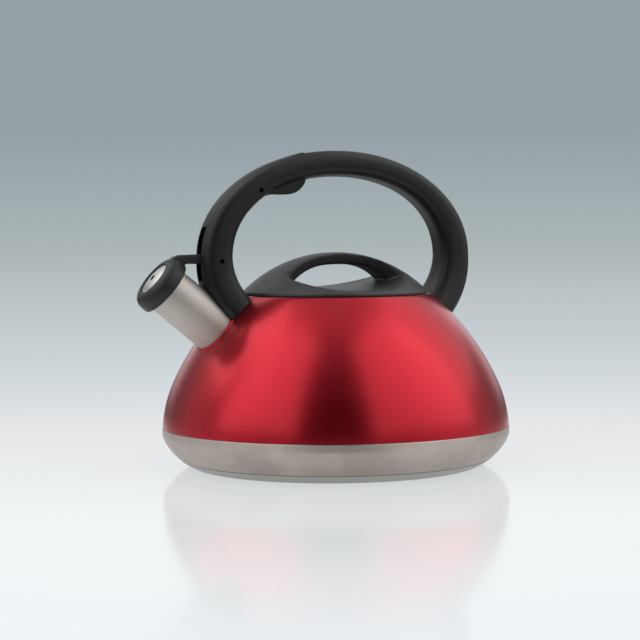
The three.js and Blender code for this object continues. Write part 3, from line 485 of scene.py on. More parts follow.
bright_steel = mottled(
    "hardware_steel", (900.0, 3.0, 0.6), ((0.42, 0.41, 0.40), (0.58, 0.57, 0.56)),
    (0.28, 0.18), (0.00002, 0.4), Metallic=1.0)
black_oxide_and_painted_shade = mottled(
    "black_oxide_and_painted_shade", (700.0, 3.0, 0.6), ((0.006, 0.006, 0.007), (0.014, 0.014, 0.015)),
    (0.5, 0.2), (0.00002, 0.4), Metallic=0.6)
aluminium = mottled(
    "raw_aluminium", (300.0, 5.0, 0.7), ((0.62, 0.62, 0.63), (0.76, 0.76, 0.77)),
    (0.42, 0.16), (0.00004, 0.5), Metallic=1.0)
silicone = mottled(
    "silicone", (400.0, 3.0), ((0.20, 0.20, 0.21), (0.28, 0.28, 0.29)),
    (0.5, 0.15), (0.00003, 0.4), Specular_IOR_Level=0.4, Subsurface_Weight=0.1)

# %% [markdown]
# The arch, the trigger and the cap are black mouldings from a fine spark-eroded mould: a dull
# grain a third of a millimetre wide. Hands polish it a little, so the roughness drifts. The lid
# is the same plastic from a coarser mould, so it scatters more light and looks greyer.

# %% Moulded plastics
def moulding(name, dark, light, roughness, grain, depth, gloss):
    """Moulded plastic: two close tones, drifting roughness, and a fine grain as bump."""
    finish = Finish(name, Specular_IOR_Level=gloss)
    texture = finish.noise(grain, 3.0, 0.65)
    drift = finish.noise(35.0, 3.0, 0.5)
    finish.set(Base_Color=finish.blend(texture * 0.6 + drift * 0.4, dark, light),
               Roughness=roughness + drift * 0.10 + texture * 0.06)
    finish.bump(texture, depth, 0.6)
    return finish


handle_plastic = moulding(
    "handle_plastic", (0.0060, 0.0068, 0.0063), (0.012, 0.013, 0.0125), 0.36, 3200.0, 0.00006, 0.4)
cap_plastic = moulding(
    "cap_plastic", (0.012, 0.015, 0.016), (0.022, 0.025, 0.027), 0.36, 3000.0, 0.00005, 0.4)
lid_plastic = moulding(
    "lid_plastic", (0.026, 0.027, 0.026), (0.042, 0.043, 0.041), 0.40, 2400.0, 0.00007, 0.7)


# %% [markdown]
# Every piece ends the same way: its mesh is closed, its faces turn smooth and its real edges stay
# sharp, it gets its finish, it is hung on the body that carries it, and the nodes it stands for are
# hidden.

# %% A last step that every piece gets
def hand_over(piece, finish, slot, body, *nodes, sharp=38):
    """Close the mesh, shade it, give it its finish, hang it on its body, and hide the nodes that it
    stands for.
    """
    mesh = piece.data
    clean(mesh)
    mesh.shade_smooth()
    mesh.set_sharp_from_angle(angle=np.radians(sharp))
    mesh.materials.clear()
    mesh.materials.append(finish.material)
    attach(piece, body)
    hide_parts(*nodes)
    triangles = sum(len(face.vertices) - 2 for face in mesh.polygons)
    corners = np.array(piece.bound_box).reshape(-1, 3) / MILLI
    print(piece.name, triangles, "triangles", corners.min(0).round(1), corners.max(0).round(1))


# %% [markdown]
# ## The vessel
# The shell is one pressing: an upright belly arc that runs into a long dome arc, and a neck
# that turns inwards. It is spun metal with one even wall, so it is a turned outline.

# %% Shell
WALL = 1.2
NECK_LIP, NECK_DEPTH = 4.6, 9.0
NECK_BORE = LID_RADIUS - 1.6
neck_turn = np.degrees(np.arccos((NECK_BORE + NECK_LIP - DOME[0]) / DOME_ARC))
NECK_ROUND = NECK_LIP / (1 + np.cos(np.radians(neck_turn)))
NECK = np.array([NECK_BORE + NECK_ROUND, NECK_TOP - NECK_ROUND])


def belly_turn(height, offset):
    """Angle on the belly arc at a height, when the arc is moved out by an offset."""
    return np.degrees(np.arcsin((height - WIDEST) / (BELLY_ARC + offset)))


def wall_line(offset, belly_steps=12, dome_steps=48):
    """Side view of the vessel's wall from the seam to the neck, moved out by an offset."""
    low_turn = belly_turn(SEAM, offset)
    belly = circle_line(BELLY, BELLY_ARC + offset, low_turn, DOME_START, belly_steps)
    dome = circle_line(DOME, DOME_ARC + offset, DOME_START, neck_turn, dome_steps)
    return joined(belly, dome[1:])


def vessel_fill(offset):
    """The room that the vessel takes, filled to the axis: cuts what stands on the dome."""
    return skin("vessel_room", turn(joined(
        [[0, SEAM]], wall_line(offset),
        circle_line(NECK, NECK_ROUND + offset, neck_turn, 90, 8)[1:], [[0, NECK_TOP + offset]])))


outside, inside = wall_line(0), wall_line(-WALL, 8, 32)
HEM, neck_end = 0.30, NECK[1] - NECK_DEPTH
shell_line = joined(
    outside,
    circle_line(NECK, NECK_ROUND, neck_turn, 180, 20)[1:],
    [[NECK_BORE, neck_end], [NECK_BORE + WALL, neck_end]],
    circle_line(NECK, NECK_ROUND - WALL, 180, neck_turn, 10),
    inside[::-1][1:],
    [[inside[0, 0] + 0.35, SEAM], [outside[0, 0] - HEM, SEAM],
     [outside[0, 0] - 0.3 * HEM, SEAM + 0.3 * HEM]])
shell = skin("body_shell_lacquered", turn(shell_line, 320), ring_rows=True)

# %% [markdown]
# The hole for the spout has a rolled edge that follows the dome. It is a small ring swept round
# the tube's axis and lifted by the dome itself.

# %% Rolled edge of the spout's hole
TUBE_RADIUS, COLLAR, BEAD = 14.8, 1.8, 0.7


def on_dome(radius, angle, height):
    """Points about the spout's axis: along is where the dome, raised by height, is met. With
    p the place beside the axis, it solves |p + along * axis - dome ring| = dome radius."""
    across, side = radius * np.cos(angle), radius * np.sin(angle)
    along = np.zeros_like(across * height)
    for _ in range(12):
        x = SPOUT_ROOT[0] + across * SPOUT_SQUARE[0] + along * SPOUT_ALONG[0]
        z = SPOUT_ROOT[1] + across * SPOUT_SQUARE[1] + along * SPOUT_ALONG[1]
        from_ring = np.hypot(np.hypot(x, side) - DOME[0], z - DOME[1])
        along = along - (from_ring - DOME_ARC - height)
    return points(x, side, z)


angle = np.linspace(0, 2 * np.pi, 160, endpoint=False)[:, None]
q = np.linspace(0, np.pi, 13)[None]
inner = TUBE_RADIUS + GAP
bead_radius = inner + COLLAR / 2 - COLLAR / 2 * np.cos(q)
bead_height = BEAD * np.sin(q) ** 0.8
bead_top = on_dome(bead_radius, angle, bead_height)
bead_foot = on_dome(bead_radius[:, ::-1], angle, -0.6)
collar = skin("collar", np.concatenate([bead_top, bead_foot], 1), ring_rows=True)
unite(shell, collar)
cut(shell, plug("tube_hole", inner, -20, 30, *UP_SPOUT, 160))
FEET = [(-1, -SPOUT_ROOT[0] - 15), (1, -SPOUT_ROOT[0] - 11.5)]


def drill_feet(piece, low, high):
    """Screw holes along the dome's normals where the two feet of the arch stand."""
    for side, distance in FEET:
        lift = np.arccos((distance - DOME[0]) / DOME_ARC)
        place = (side * distance, DOME[1] + DOME_ARC * np.sin(lift))
        direction = 180 - np.degrees(lift) if side < 0 else np.degrees(lift)
        cut(piece, plug("screw_hole", SCREW_HOLE, low, high, place, direction, 48))


drill_feet(shell, -12, 12)
hand_over(shell, lacquer, "lacquer", "vessel", "body_shell")

# %% [markdown]
# The lacquer is sprayed on from outside, so the inside of the vessel is bare steel. A point is
# inside when it lies more than half the wall's thickness under the arcs of the outer face, and
# below the roll of the neck.

# %% Bare steel inside the shell
_, _, z, from_axis = lacquer.about_axis(lacquer.place)


def depth_under(centre, arc):
    """How far a point of the wall lies under an arc of the outer face, in metres."""
    across, rise = from_axis - float(centre[0] * MILLI), z - float(centre[1] * MILLI)
    return arc * MILLI - (across * across + rise * rise) ** 0.5


arcs_meet = float(BELLY[1] + BELLY_ARC * at_angle(DOME_START)[1]) * MILLI
on_upper_arc = lacquer.level(z, arcs_meet - 0.0001, arcs_meet + 0.0001)
depth = lacquer.blend(on_upper_arc, depth_under(BELLY, BELLY_ARC), depth_under(DOME, DOME_ARC))
under_neck = lacquer.level(z, float(NECK[1]) * MILLI, float(NECK[1] - 1) * MILLI)
bare = lacquer.level(depth, WALL / 3 * MILLI, WALL * 2 / 3 * MILLI) * under_neck
lacquer.set(Base_Color=lacquer.blend(bare, red, (0.52, 0.49, 0.45)))
print("arcs of the wall meet at", round(arcs_meet, 4), "m")

# %% [markdown]
# The pan below the seam is a second pressing of bare steel. Its lip fits inside the shell and
# its shoulder is rolled, so a fine dark line runs round under the lacquer. A capsule closes the
# base: a shallow steel dish that holds the aluminium disc which spreads the heat. Pan and dish
# share one outer curve, a superellipse from the widest line down to the table.

# %% Pan and base cap
RIM_HEIGHT = reach("base_cap")[1][2]
FLOOR = RIM_HEIGHT + GAP
FLAT_RADIUS, BASE_POWER, DISH_WALL = 88.6, 1.45, 0.8


def base_curve(inset, start, end, steps):
    """Outer curve moved in by an inset: ((r - flat) / width)^p + ((belly - z) / depth)^p = 1,
    solved for the radius at heights that lie closer together lower down."""
    height = end + (start - end) * (1 - np.linspace(0, 1, steps + 1)) ** 1.6
    share = np.clip((WIDEST - height) / (WIDEST - inset), 0, 1) ** BASE_POWER
    width = BODY_RADIUS - FLAT_RADIUS
    radius = FLAT_RADIUS - inset + width * (1 - share) ** (1 / BASE_POWER)
    return points(radius, height)


SHOULDER, SHOULDER_ROUND, LIP_HEIGHT = SEAM - 0.12, 0.5, 5


def lip_line(offset):
    """The pan's lip inside the shell, on the belly arc moved by an offset."""
    return circle_line(BELLY, BELLY_ARC + offset, belly_turn(SHOULDER, offset),
                       belly_turn(SEAM + LIP_HEIGHT, offset), 6)


bend = np.array([lip_line(0)[0, 0], SHOULDER]) - SHOULDER_ROUND
pan_line = joined(
    [[0, FLOOR + WALL]], base_curve(WALL + GAP, WIDEST, FLOOR + WALL, 24)[::-1],
    lip_line(-2 * WALL - GAP), lip_line(-WALL - GAP)[::-1],
    circle_line(bend, SHOULDER_ROUND, 90, 5, 6),
    base_curve(0, bend[1] - 0.1, FLOOR, 40), [[FLAT_RADIUS, FLOOR], [0, FLOOR]])
pan = skin("base_pan_satin", turn(pan_line, 320))
hand_over(pan, pan_steel, "brushed_steel", "vessel", "base_pan")

dish_line = joined(
    [[0, 0]], base_curve(0, RIM_HEIGHT, 0, 32)[::-1],
    base_curve(DISH_WALL, RIM_HEIGHT, DISH_WALL, 24), [[0, DISH_WALL]])
dish = skin("base_cap_satin", turn(dish_line, 320))
hand_over(dish, base_steel, "base_steel", "vessel", "base_cap")

# %% [markdown]
# The spout is a plain welded tube, a millimetre thick, with a rolled mouth under the cap.

# %% Spout tube
TUBE_LENGTH = 44.1
tube_line = soften([(TUBE_RADIUS - 1, -2.5), (TUBE_RADIUS, -2.5), (TUBE_RADIUS, TUBE_LENGTH),
                    (TUBE_RADIUS - 1, TUBE_LENGTH)], [0.1, 0.1, 0.48, 0.48], 6)
tube = skin("spout_tube_satin", stand(turn(tube_line, 160), *UP_SPOUT), ring_rows=True)
hand_over(tube, tube_steel, "brushed_steel", "vessel", "spout_tube")

# %% [markdown]
# ## The arch
# The handle's centre line is a superellipse, higher than it is wide at the top, and its legs
# grow towards their feet. The section is a superellipse too: a hand feels no corner.

# %% Centre line and section
LEG_OUTSET, ARCH_LIFT = 0.76, 23.6
ARCH_MIDDLE = np.array([1.0, NECK_TOP + ARCH_LIFT])
HALF_SPAN = LEG_OUTSET - SPOUT_ROOT[0]
RISE, DROP, ARCH_POWER, SECTION_POWER = 59.4, 57.6, 2.08, 2.8
TOP_THICK, LEG_THICK, LEG_POWER, FOOT_GROWTH, FOOT_FLARE = 16.5, 20.6, 5.6, 8.0, 12.5
ARCH_SIDE, ARCH_END = 12.0, 0.86


def rounded(value, power):
    """A cosine or sine with its size raised to 2 / power: it carries a superellipse."""
    return np.sign(value) * np.abs(value) ** (2 / power)


def arch(t):
    """Centre line: (half span |cos t|^(2/p), rise |sin t|^(2/p)) with the signs kept."""
    c, s = np.cos(t), np.sin(t)
    high = np.where(s >= 0, RISE, DROP)
    return ARCH_MIDDLE + points(HALF_SPAN * rounded(c, ARCH_POWER), high * rounded(s, ARCH_POWER))


def arch_out(t):
    """Unit direction out of the arch, square to the centre line."""
    return unit(square_to(arch(t + 0.01) - arch(t - 0.01)))


def arch_half(t):
    """Half the thickness: it grows late towards the legs and again towards the feet."""
    legs = np.abs(np.cos(t)) ** LEG_POWER
    foot = np.maximum(0, -np.sin(t)) * FOOT_GROWTH
    return (TOP_THICK + (LEG_THICK - TOP_THICK) * legs + foot) / 2


def off_arch(t, offset):
    """Point at an offset out of the centre line."""
    return arch(t) + arch_out(t) * np.asarray(offset)[..., None]


def outer_face(t, depth=0.0):
    return off_arch(t, arch_half(t) - depth)


t = np.linspace(-ARCH_END, np.pi + ARCH_END, 300)[:, None]
q = np.linspace(0, 2 * np.pi, 112, endpoint=False)[None]
half_wide = ARCH_SIDE + FOOT_FLARE * np.maximum(0, -np.sin(t)) ** 2
across = half_wide * rounded(np.sin(q), SECTION_POWER)
flat = off_arch(t, arch_half(t) * rounded(np.cos(q), SECTION_POWER))
handle = skin("handle_arch", np.insert(flat, 1, across, axis=2), ends=True)
print("arch top", outer_face(np.array(np.pi / 2))[1])

# %% [markdown]
# The channel, the trigger's pocket, the pin holes and the feet are then cut, as cores in the
# mould would leave them. First come the turns along the arch where the cuts start and end.

# %% Where the cover and the slot end
COVER_TOP, COVER_DEEP, COVER_WIDE = 1.83, 2.6, 12.0
LIP, LIP_TURN = 0.7, 0.17
SLOT_BELOW, SLOT_ABOVE, ARM_WIDE, RUNNING = 12.2, 21.2, 7.0, 0.5
CHANNEL_FLOOR = 2.1


def front_leg_at(height):
    """Turn at which the outer face passes a height on the front leg."""
    t = np.linspace(np.pi / 2, np.pi + ARCH_END, 4000)
    return t[np.abs(outer_face(t)[:, 1] - height).argmin()]


COVER_END = front_leg_at(ARM_PIN[1] + SLOT_ABOVE)
SLOT_END = front_leg_at(ARM_PIN[1] - SLOT_BELOW)
t = np.linspace(1.8, 2.8, 4000)
TRIGGER_TURN = t[np.linalg.norm(arch(t) - TRIGGER_PIN, axis=1).argmin()]
print("cover ends at", COVER_END, "slot ends at", SLOT_END, "trigger turn", TRIGGER_TURN)

# %% Cuts in the arch
def groove(start, end, top, bottom, half_wide):
    """Cutter along the arch between two offsets, functions of t, from the centre line."""
    t = np.linspace(start, end, 49)
    outline = joined(off_arch(t, top(t)), off_arch(t, bottom(t))[::-1])
    return slab("groove", outline, -half_wide, half_wide)


PROUD, turn_gap = 6, GAP / HALF_SPAN
running = ARM_WIDE / 2 + RUNNING
cover_seat = groove(COVER_TOP - turn_gap, COVER_END + turn_gap, lambda t: arch_half(t) + PROUD,
                    lambda t: arch_half(t) - COVER_DEEP - GAP, COVER_WIDE / 2 + GAP)
channel = groove(TRIGGER_TURN, SLOT_END, lambda t: arch_half(t) - COVER_DEEP,
                 lambda t: CHANNEL_FLOOR - arch_half(t), running)
slot = groove(COVER_END, SLOT_END, lambda t: arch_half(t) + PROUD,
              lambda t: arch_half(t) - 2 * COVER_DEEP, running)
TRIGGER_REACH, TRIGGER_HUB, TRIGGER_WIDE, TRAVEL = 32.5, 4.6, 14.0, 15.0
out = arch_out(np.array(TRIGGER_TURN))
heading = np.arctan2(out[1], out[0]) - np.pi / 2 - np.radians(33.6)


def on_trigger(line):
    """Points of the trigger's own frame: x along the paddle, y towards its back."""
    x, y = np.asarray(line, float).T
    return points(TRIGGER_PIN[0] + x * np.cos(heading) - y * np.sin(heading),
                  TRIGGER_PIN[1] + x * np.sin(heading) + y * np.cos(heading))


room = TRIGGER_REACH + 3 * RUNNING
pocket_line = on_trigger(joined(
    [[-0.06 * room, -TOP_THICK], [0.9 * room, -TOP_THICK]],
    circle_line((0, 0), room, -20, TRAVEL + 19, 24), [[0.507 * room, 0.4 * room]],
    circle_line((0, 0), TRIGGER_HUB + 2 * RUNNING, 75, 262, 28)))
pocket = slab("pocket", pocket_line, -TRIGGER_WIDE / 2 - RUNNING, TRIGGER_WIDE / 2 + RUNNING)
tube_room = plug("tube_room", inner, -20, TUBE_LENGTH, *UP_SPOUT, 160)
collar_room = plug("collar_room", inner + COLLAR + GAP, -20, 20, *UP_SPOUT, 160)
combine(collar_room, "INTERSECT", vessel_fill(1.0))
pin_holes = [bar("pin_hole", pin, PIN_HOLE, -30, 30, 48) for pin in (TRIGGER_PIN, ARM_PIN)]
cut(handle, cover_seat, channel, slot, pocket, *pin_holes, vessel_fill(GAP), tube_room, collar_room)
drill_feet(handle, -20, 13.3)
hand_over(handle, handle_plastic, "handle_plastic", "vessel", "handle_body")

# %% [markdown]
# A snap-in strip covers the rod's channel. It follows the arch's outer face, so a hand hardly
# feels it, and rises to a low lip where a fingernail lifts it.

# %% Channel cover
half_wide = COVER_WIDE / 2
corner = soften([(-half_wide, 0), (half_wide, 0), (half_wide, COVER_DEEP),
                 (-half_wide, COVER_DEEP)], [0.2, 0.2, 0.5, 0.5], 5)
top = np.linspace(half_wide - 0.6, -half_wide + 0.6, 16)
section = joined(corner[:18], points(top, COVER_DEEP), corner[18:])
y, share = section[:, 0][None], (section[:, 1] / COVER_DEEP)[None]
t = np.linspace(COVER_TOP, COVER_END, 160)[:, None]
lip = LIP * np.clip(1 - (t - COVER_TOP) / LIP_TURN, 0, 1) ** 1.5
crown = arch_half(t) * (1 - np.abs(y / ARCH_SIDE) ** SECTION_POWER) ** (1 / SECTION_POWER) + lip
foot = arch_half(t) - COVER_DEEP
flat = off_arch(t, foot + (crown - foot) * share)
cover = skin("handle_cover_strip", np.insert(flat, 1, y, axis=2), ends=True)
hand_over(cover, handle_plastic, "handle_plastic", "vessel", "handle_cover")

# %% [markdown]
# ## Trigger
# The finger pulls a paddle under the arch. Its grip side is a smooth line through a few points,
# its back is nearly straight, and its rims are round. A thin tail beside the hub carries the
# push rod's eye.

# %% Trigger
def flowing(knots, steps):
    """Catmull-Rom line: a cubic on each span, with the slopes half the way between the
    neighbours."""
    p = np.asarray(knots, float)
    padded = joined(p[:1], p, p[-1:])
    place = np.linspace(0, len(p) - 1, steps + 1)
    i = np.minimum(place.astype(int), len(p) - 2)
    u = (place - i)[:, None]
    a, b, c, d = (padded[i + k] for k in range(4))
    slope_b, slope_c = (c - a) / 2, (d - b) / 2
    return ((2 * b - 2 * c + slope_b + slope_c) * u**3
            + (3 * c - 3 * b - 2 * slope_b - slope_c) * u**2 + slope_b * u + b)


def link_line(start, end, start_radius, end_radius, steps=24):
    """Outline of a link with round ends."""
    turned = np.degrees(np.arctan2(*(end - start)[::-1]))
    return joined(circle_line(end, end_radius, turned - 90, turned + 90, steps),
                  circle_line(start, start_radius, turned + 90, turned + 270, steps))


grip = flowing([[0.108, -0.114], [0.335, -0.068], [0.622, -0.074], [0.815, -0.018],
                [0.948, 0.105], [1, 0.228]], 60) * TRIGGER_REACH
back = np.array([[0.985, 0.262], [0.954, 0.258], [0.57, 0.2], [0.185, 0.142]]) * TRIGGER_REACH
paddle_line = on_trigger(joined([[0, -TRIGGER_HUB]], grip, back, [[0, TRIGGER_HUB]]))
wide = TRIGGER_WIDE / 2
paddle = slab("trigger_paddle", paddle_line, -wide, wide, 1.1, 6)
unite(paddle, bar("hub", TRIGGER_PIN, TRIGGER_HUB, -wide, wide))
cut(paddle, bar("spring_room", TRIGGER_PIN, TRIGGER_HUB * 1.4, 3.5, wide + 1))
TAIL_EYE = on_trigger([[-13.7, -5.9]])[0]
EYE_LOW, EYE_HIGH, ROD = GAP - ARM_WIDE / 2, 1.0, 0.8
tail_line = link_line(TRIGGER_PIN, TAIL_EYE, TRIGGER_HUB * 0.8, 3.1)
unite(paddle, bar("boss", TRIGGER_PIN, 2.45, 0, wide),
      slab("tail", tail_line, EYE_LOW, EYE_HIGH, 0.3))
cut(paddle, bar("pin_hole", TRIGGER_PIN, PIN_HOLE, -20, 20, 48),
    bar("rod_hole", TAIL_EYE, ROD + GAP, -20, 20, 48))
hand_over(paddle, handle_plastic, "handle_plastic", "trigger", "trigger")

# %% [markdown]
# ## Whistle cap
# The cap is a thick moulded ring with a full rounding, turned about the tube's axis.

# %% Cap
CAP_BACK = TUBE_LENGTH - 3.2
CAP_INNER, CAP_DEEP, CAP_EDGE, CAP_SEAT = TUBE_RADIUS + 1.6, 10.4, 0.5, 3.2 + GAP
CAP_OUTER = CAP_INNER + 2
SHEET, LEDGE, FACE = 0.7, 1.8, CAP_OUTER - 6.4
PLATE, PLATE_SEAT = FACE - 1.4, CAP_DEEP - 0.8 - SHEET - GAP
THROAT, REAR_LEDGE = PLATE - LEDGE, PLATE_SEAT - 2.6
REAR = THROAT + 0.9


def on_spout(name, outline, distance, segments, ring_rows=True):
    """Turned piece on the tube's axis, at a distance out from the dome."""
    place = SPOUT_ROOT + SPOUT_ALONG * distance
    return skin(name, stand(turn(outline, segments), place, UP_SPOUT[1]), ring_rows=ring_rows)


# A superellipse rounds the ring: (r, z) = (cos u ^ (2/p), sin u ^ (2/p)) from skirt to face.
CAP_SKIRT, CAP_POWER = 3.6, 2.22
quarter = at_angle(np.linspace(0, 90, 29)) ** (2 / CAP_POWER)
rounding = (FACE, CAP_SKIRT) + quarter * (CAP_OUTER - FACE, CAP_DEEP - CAP_SKIRT)
ring_line = joined(
    [[CAP_INNER, 0.0], [CAP_OUTER - 0.5, 0.0], [CAP_OUTER - 0.15, 0.15], [CAP_OUTER, 0.5]],
    rounding,
    circle_line((PLATE + GAP + 0.5, CAP_DEEP - 0.5), 0.5, 90, 180, 6),
    [[PLATE + GAP, PLATE_SEAT], [THROAT, PLATE_SEAT], [THROAT, REAR_LEDGE],
     [REAR + GAP, REAR_LEDGE], [REAR + GAP, CAP_SEAT], [CAP_INNER - 0.5, CAP_SEAT]])
cap_ring = on_spout("cap_ring", ring_line, CAP_BACK, 160)

# %% [markdown]
# The arm is one moulding with the ring: a flat piece with round rims. Its corners are rounder
# than its rims, because a sharp inner corner would fold the rim over itself.

# %% Arm
rim = SPOUT_ROOT + SPOUT_ALONG * CAP_BACK


def on_cap(distance, radius):
    """Side view point above the cap: along the tube from the back rim, and out from the axis."""
    return rim + SPOUT_ALONG * distance + SPOUT_SQUARE * radius


THICK, ARM_HUB, EYE_REACH = 6.0, 4.8, 3.7
arm_top = ARM_PIN[1] + 4.2
arm_corners = [
    (ARM_PIN[0], ARM_PIN[1] + ARM_HUB),
    (ARM_PIN[0] - 1.6 * ARM_HUB, arm_top + GAP),
    on_cap(CAP_DEEP - 0.65 * THICK, CAP_OUTER + 0.47 * THICK),
    on_cap(CAP_DEEP - 0.3 * THICK, CAP_OUTER - 0.08 * THICK),
    on_cap(CAP_DEEP - 2 * CAP_EDGE, FACE + 2),
    on_cap(CAP_DEEP - 6 * CAP_EDGE, FACE + CAP_EDGE),
    on_cap(CAP_SEAT - 2 * CAP_EDGE, CAP_INNER + CAP_EDGE),
    on_cap(CAP_EDGE, CAP_OUTER - CAP_EDGE),
    on_cap(-CAP_EDGE, CAP_OUTER + 3 * CAP_EDGE),
    (ARM_PIN[0] - 1.4 * ARM_HUB, arm_top - THICK),
    (ARM_PIN[0], ARM_PIN[1] - ARM_HUB)]
arm_line = soften(arm_corners, [1.5, 6, 4, 3, 1.3, 1.3, 1.3, 1.3, 3, 2, 1.5], 8)
wide = ARM_WIDE / 2
arm = slab("cap_arm", arm_line, -wide, wide, 1.0, 6)
unite(arm, bar("hub", ARM_PIN, ARM_HUB, -wide, wide))
core_line = [(0, -20), (CAP_INNER, -20), (CAP_INNER, 0), (CAP_INNER - CAP_EDGE, CAP_SEAT),
             (PLATE, CAP_SEAT), (PLATE, CAP_DEEP), (0, CAP_DEEP)]
cut(arm, bar("rod_side", ARM_PIN, EYE_REACH + 2.6, EYE_HIGH, wide + 0.5),
    on_spout("core", core_line, CAP_BACK, 96, False))
ARM_EYE = ARM_PIN + EYE_REACH * at_angle(10)
eye_line = link_line(ARM_PIN, ARM_EYE, ARM_HUB * 0.7, ROD + 0.5 + 0.9)
unite(arm, bar("boss", ARM_PIN, 2.18, 0, wide), slab("eye", eye_line, EYE_LOW, EYE_HIGH - 0.02))
cut(arm, bar("pin_hole", ARM_PIN, PIN_HOLE, -20, 20, 48),
    bar("eye_hole", ARM_EYE, ROD + 0.5, -20, 20, 48))
unite(arm, cap_ring)
hand_over(arm, cap_plastic, "cap_plastic", "whistle_cap", "whistle_cap")

# %% [markdown]
# Two thin steel plates with a hole in each make the whistle: steam that passes both holes sings.
# The front one is bright; the rear one gets the black oxide finish as painted shade, because it is
# seen only through the front plate's hole, inside the cap.

# %% Whistle plates
def plate_line(radius, dome):
    """Thin sheet with a flat edge, a dome between flat and hole, and a hole in the middle.
    The dome is dome * (1 - share^2), with share 0 at the hole and 1 at the flat."""
    flat, cut = radius - LEDGE + GAP, radius - 0.1
    share = np.linspace(0, 1, 17)
    ball = points(HOLE + (flat - HOLE) * share, dome * (1 - share**2))
    edge = [[cut, 0], [radius, 0.1], [radius, SHEET - 0.1], [cut, SHEET]]
    return joined(ball, edge, ball[::-1] + [0, SHEET])


front_plate = on_spout(
    "whistle_plate_front", plate_line(PLATE, 1.3), CAP_BACK + PLATE_SEAT + GAP, 128)
hand_over(front_plate, sheet_steel, "whistle_steel", "whistle_cap", "whistle_plate_outer")
# Painted shade: the rear plate is black because it sits in the shade behind the front plate's hole.
rear_plate = on_spout(
    "whistle_plate_rear", plate_line(REAR, 0.0), CAP_BACK + REAR_LEDGE - GAP - SHEET, 96)
hand_over(rear_plate, black_oxide_and_painted_shade, "whistle_steel", "whistle_cap", "whistle_plate_inner")

# %% [markdown]
# ## Lid
# The lid is a part of a ball with two finger scoops that meet under a grip bar. The plain part
# comes first: a flat seat, a small chamfer and the ball, turned.

# %% Lid cover
rise, edge_high, CHAMFER = LID_TOP - LID_SEAT, 2.3, 0.8
ball_rise = rise - edge_high
BALL = (LID_RADIUS**2 + ball_rise**2) / (2 * ball_rise)
BALL_CENTRE = LID_TOP - BALL
lid_line = joined(
    [[0, LID_SEAT], [LID_RADIUS - CHAMFER, LID_SEAT], [LID_RADIUS, LID_SEAT + CHAMFER]],
    circle_line((0, BALL_CENTRE), BALL, np.degrees(np.arccos(LID_RADIUS / BALL)), 90, 40))
lid = skin("lid_cover_moulded", turn(lid_line, 192))

# %% [markdown]
# The scoops are one bowl with a stadium plan, flat in the middle and steep at its rim.

# %% Bowl of the two finger scoops
SCOOP_OFFSET, BOWL_FLOOR, BOWL_POWER = 16.0, 3.95, 3.2
SCOOP = LID_RADIUS - SCOOP_OFFSET - 1
floor, above = LID_SEAT + BOWL_FLOOR, LID_SEAT + 2 * rise
straight = SCOOP_OFFSET * np.linspace(0.9, -0.9, 13)
rim_front = circle_line((0, SCOOP_OFFSET), SCOOP, 0, 180, 48)
side_left = points(-SCOOP, straight)
rim_line = joined(rim_front, side_left, -rim_front, -side_left)
spine = joined(np.tile([[0, SCOOP_OFFSET]], (49, 1)), side_left * [0, 1])
middle = joined(spine, -spine)
share = np.linspace(0.04, 1.06, 36)[:, None]
ball_height = BALL_CENTRE + np.sqrt(
    BALL**2 - np.minimum(np.linalg.norm(rim_line, axis=1), LID_RADIUS) ** 2)
plan = middle + (rim_line - middle) * share[..., None]
height = floor + (ball_height - floor) * share**BOWL_POWER
bowl_grid = np.concatenate([plan, height[..., None]], -1)
raised_rim = bowl_grid[-1:] * [1, 1, 0] + [0, 0, above]
bowl = skin("bowl", joined(bowl_grid, raised_rim), ends=True)

# %% [markdown]
# The bar is a loft with a round underside. The bowl is cut by the bar and the lid by the bowl, so
# the bar stays. Remeshing turns the cut edges into the small radii of a moulding, and the skin
# that belongs to the ball is then put back on the exact ball.

# %% Grip bar, cut and remesh
BAR_TOP, BAR_DROP, BAR_POWER, BAR_WIDE, BAR_FLARE, BAR_LEAN = 19.55, 22, 2.85, 11, 5, 0.5
half_length = (SCOOP + LID_RADIUS) / 2
u = np.linspace(-1, 1, 61)[:, None]
along = u * half_length / SCOOP
under = LID_SEAT + BAR_TOP - BAR_DROP * np.abs(along) ** BAR_POWER
side, rising = soften([(-1, 0), (1, 0), (1, 0.5), (1, 1), (-1, 1), (-1, 0.5)],
                      [0.16, 0.16, 0, 0, 0, 0], 8).T[:, None]
leaning = 1 - BAR_LEAN * np.maximum(0.5 - rising, 0)
bar_y = side * leaning * (BAR_WIDE + BAR_FLARE * along**2)
bar_z = np.where(rising > 0.5, above + 5, under + rising * 16)
grip_bar = skin("grip_bar", points(u * half_length, bar_y, bar_z), ends=True)
cut(lid, cut(bowl, grip_bar))
LID_SCREW, VOXEL, BALL_BAND, BALL_FADE = LID_RADIUS - 11, 0.68, 0.30, 0.20


def drill_lid(piece, high):
    """Screw holes at the two ends of the grip bar."""
    for place in ((-LID_SCREW, LID_SEAT), (LID_SCREW, LID_SEAT)):
        cut(piece, plug("screw_hole", SCREW_HOLE, -20, high, place, 90, 48))


drill_lid(lid, 8.3)
remesh = lid.modifiers.new("remesh", "REMESH")
remesh.mode, remesh.voxel_size, remesh.use_smooth_shade = "VOXEL", VOXEL * MILLI, True
relax = lid.modifiers.new("relax", "SMOOTH")
relax.factor, relax.iterations = 0.5, 6
bake(lid)


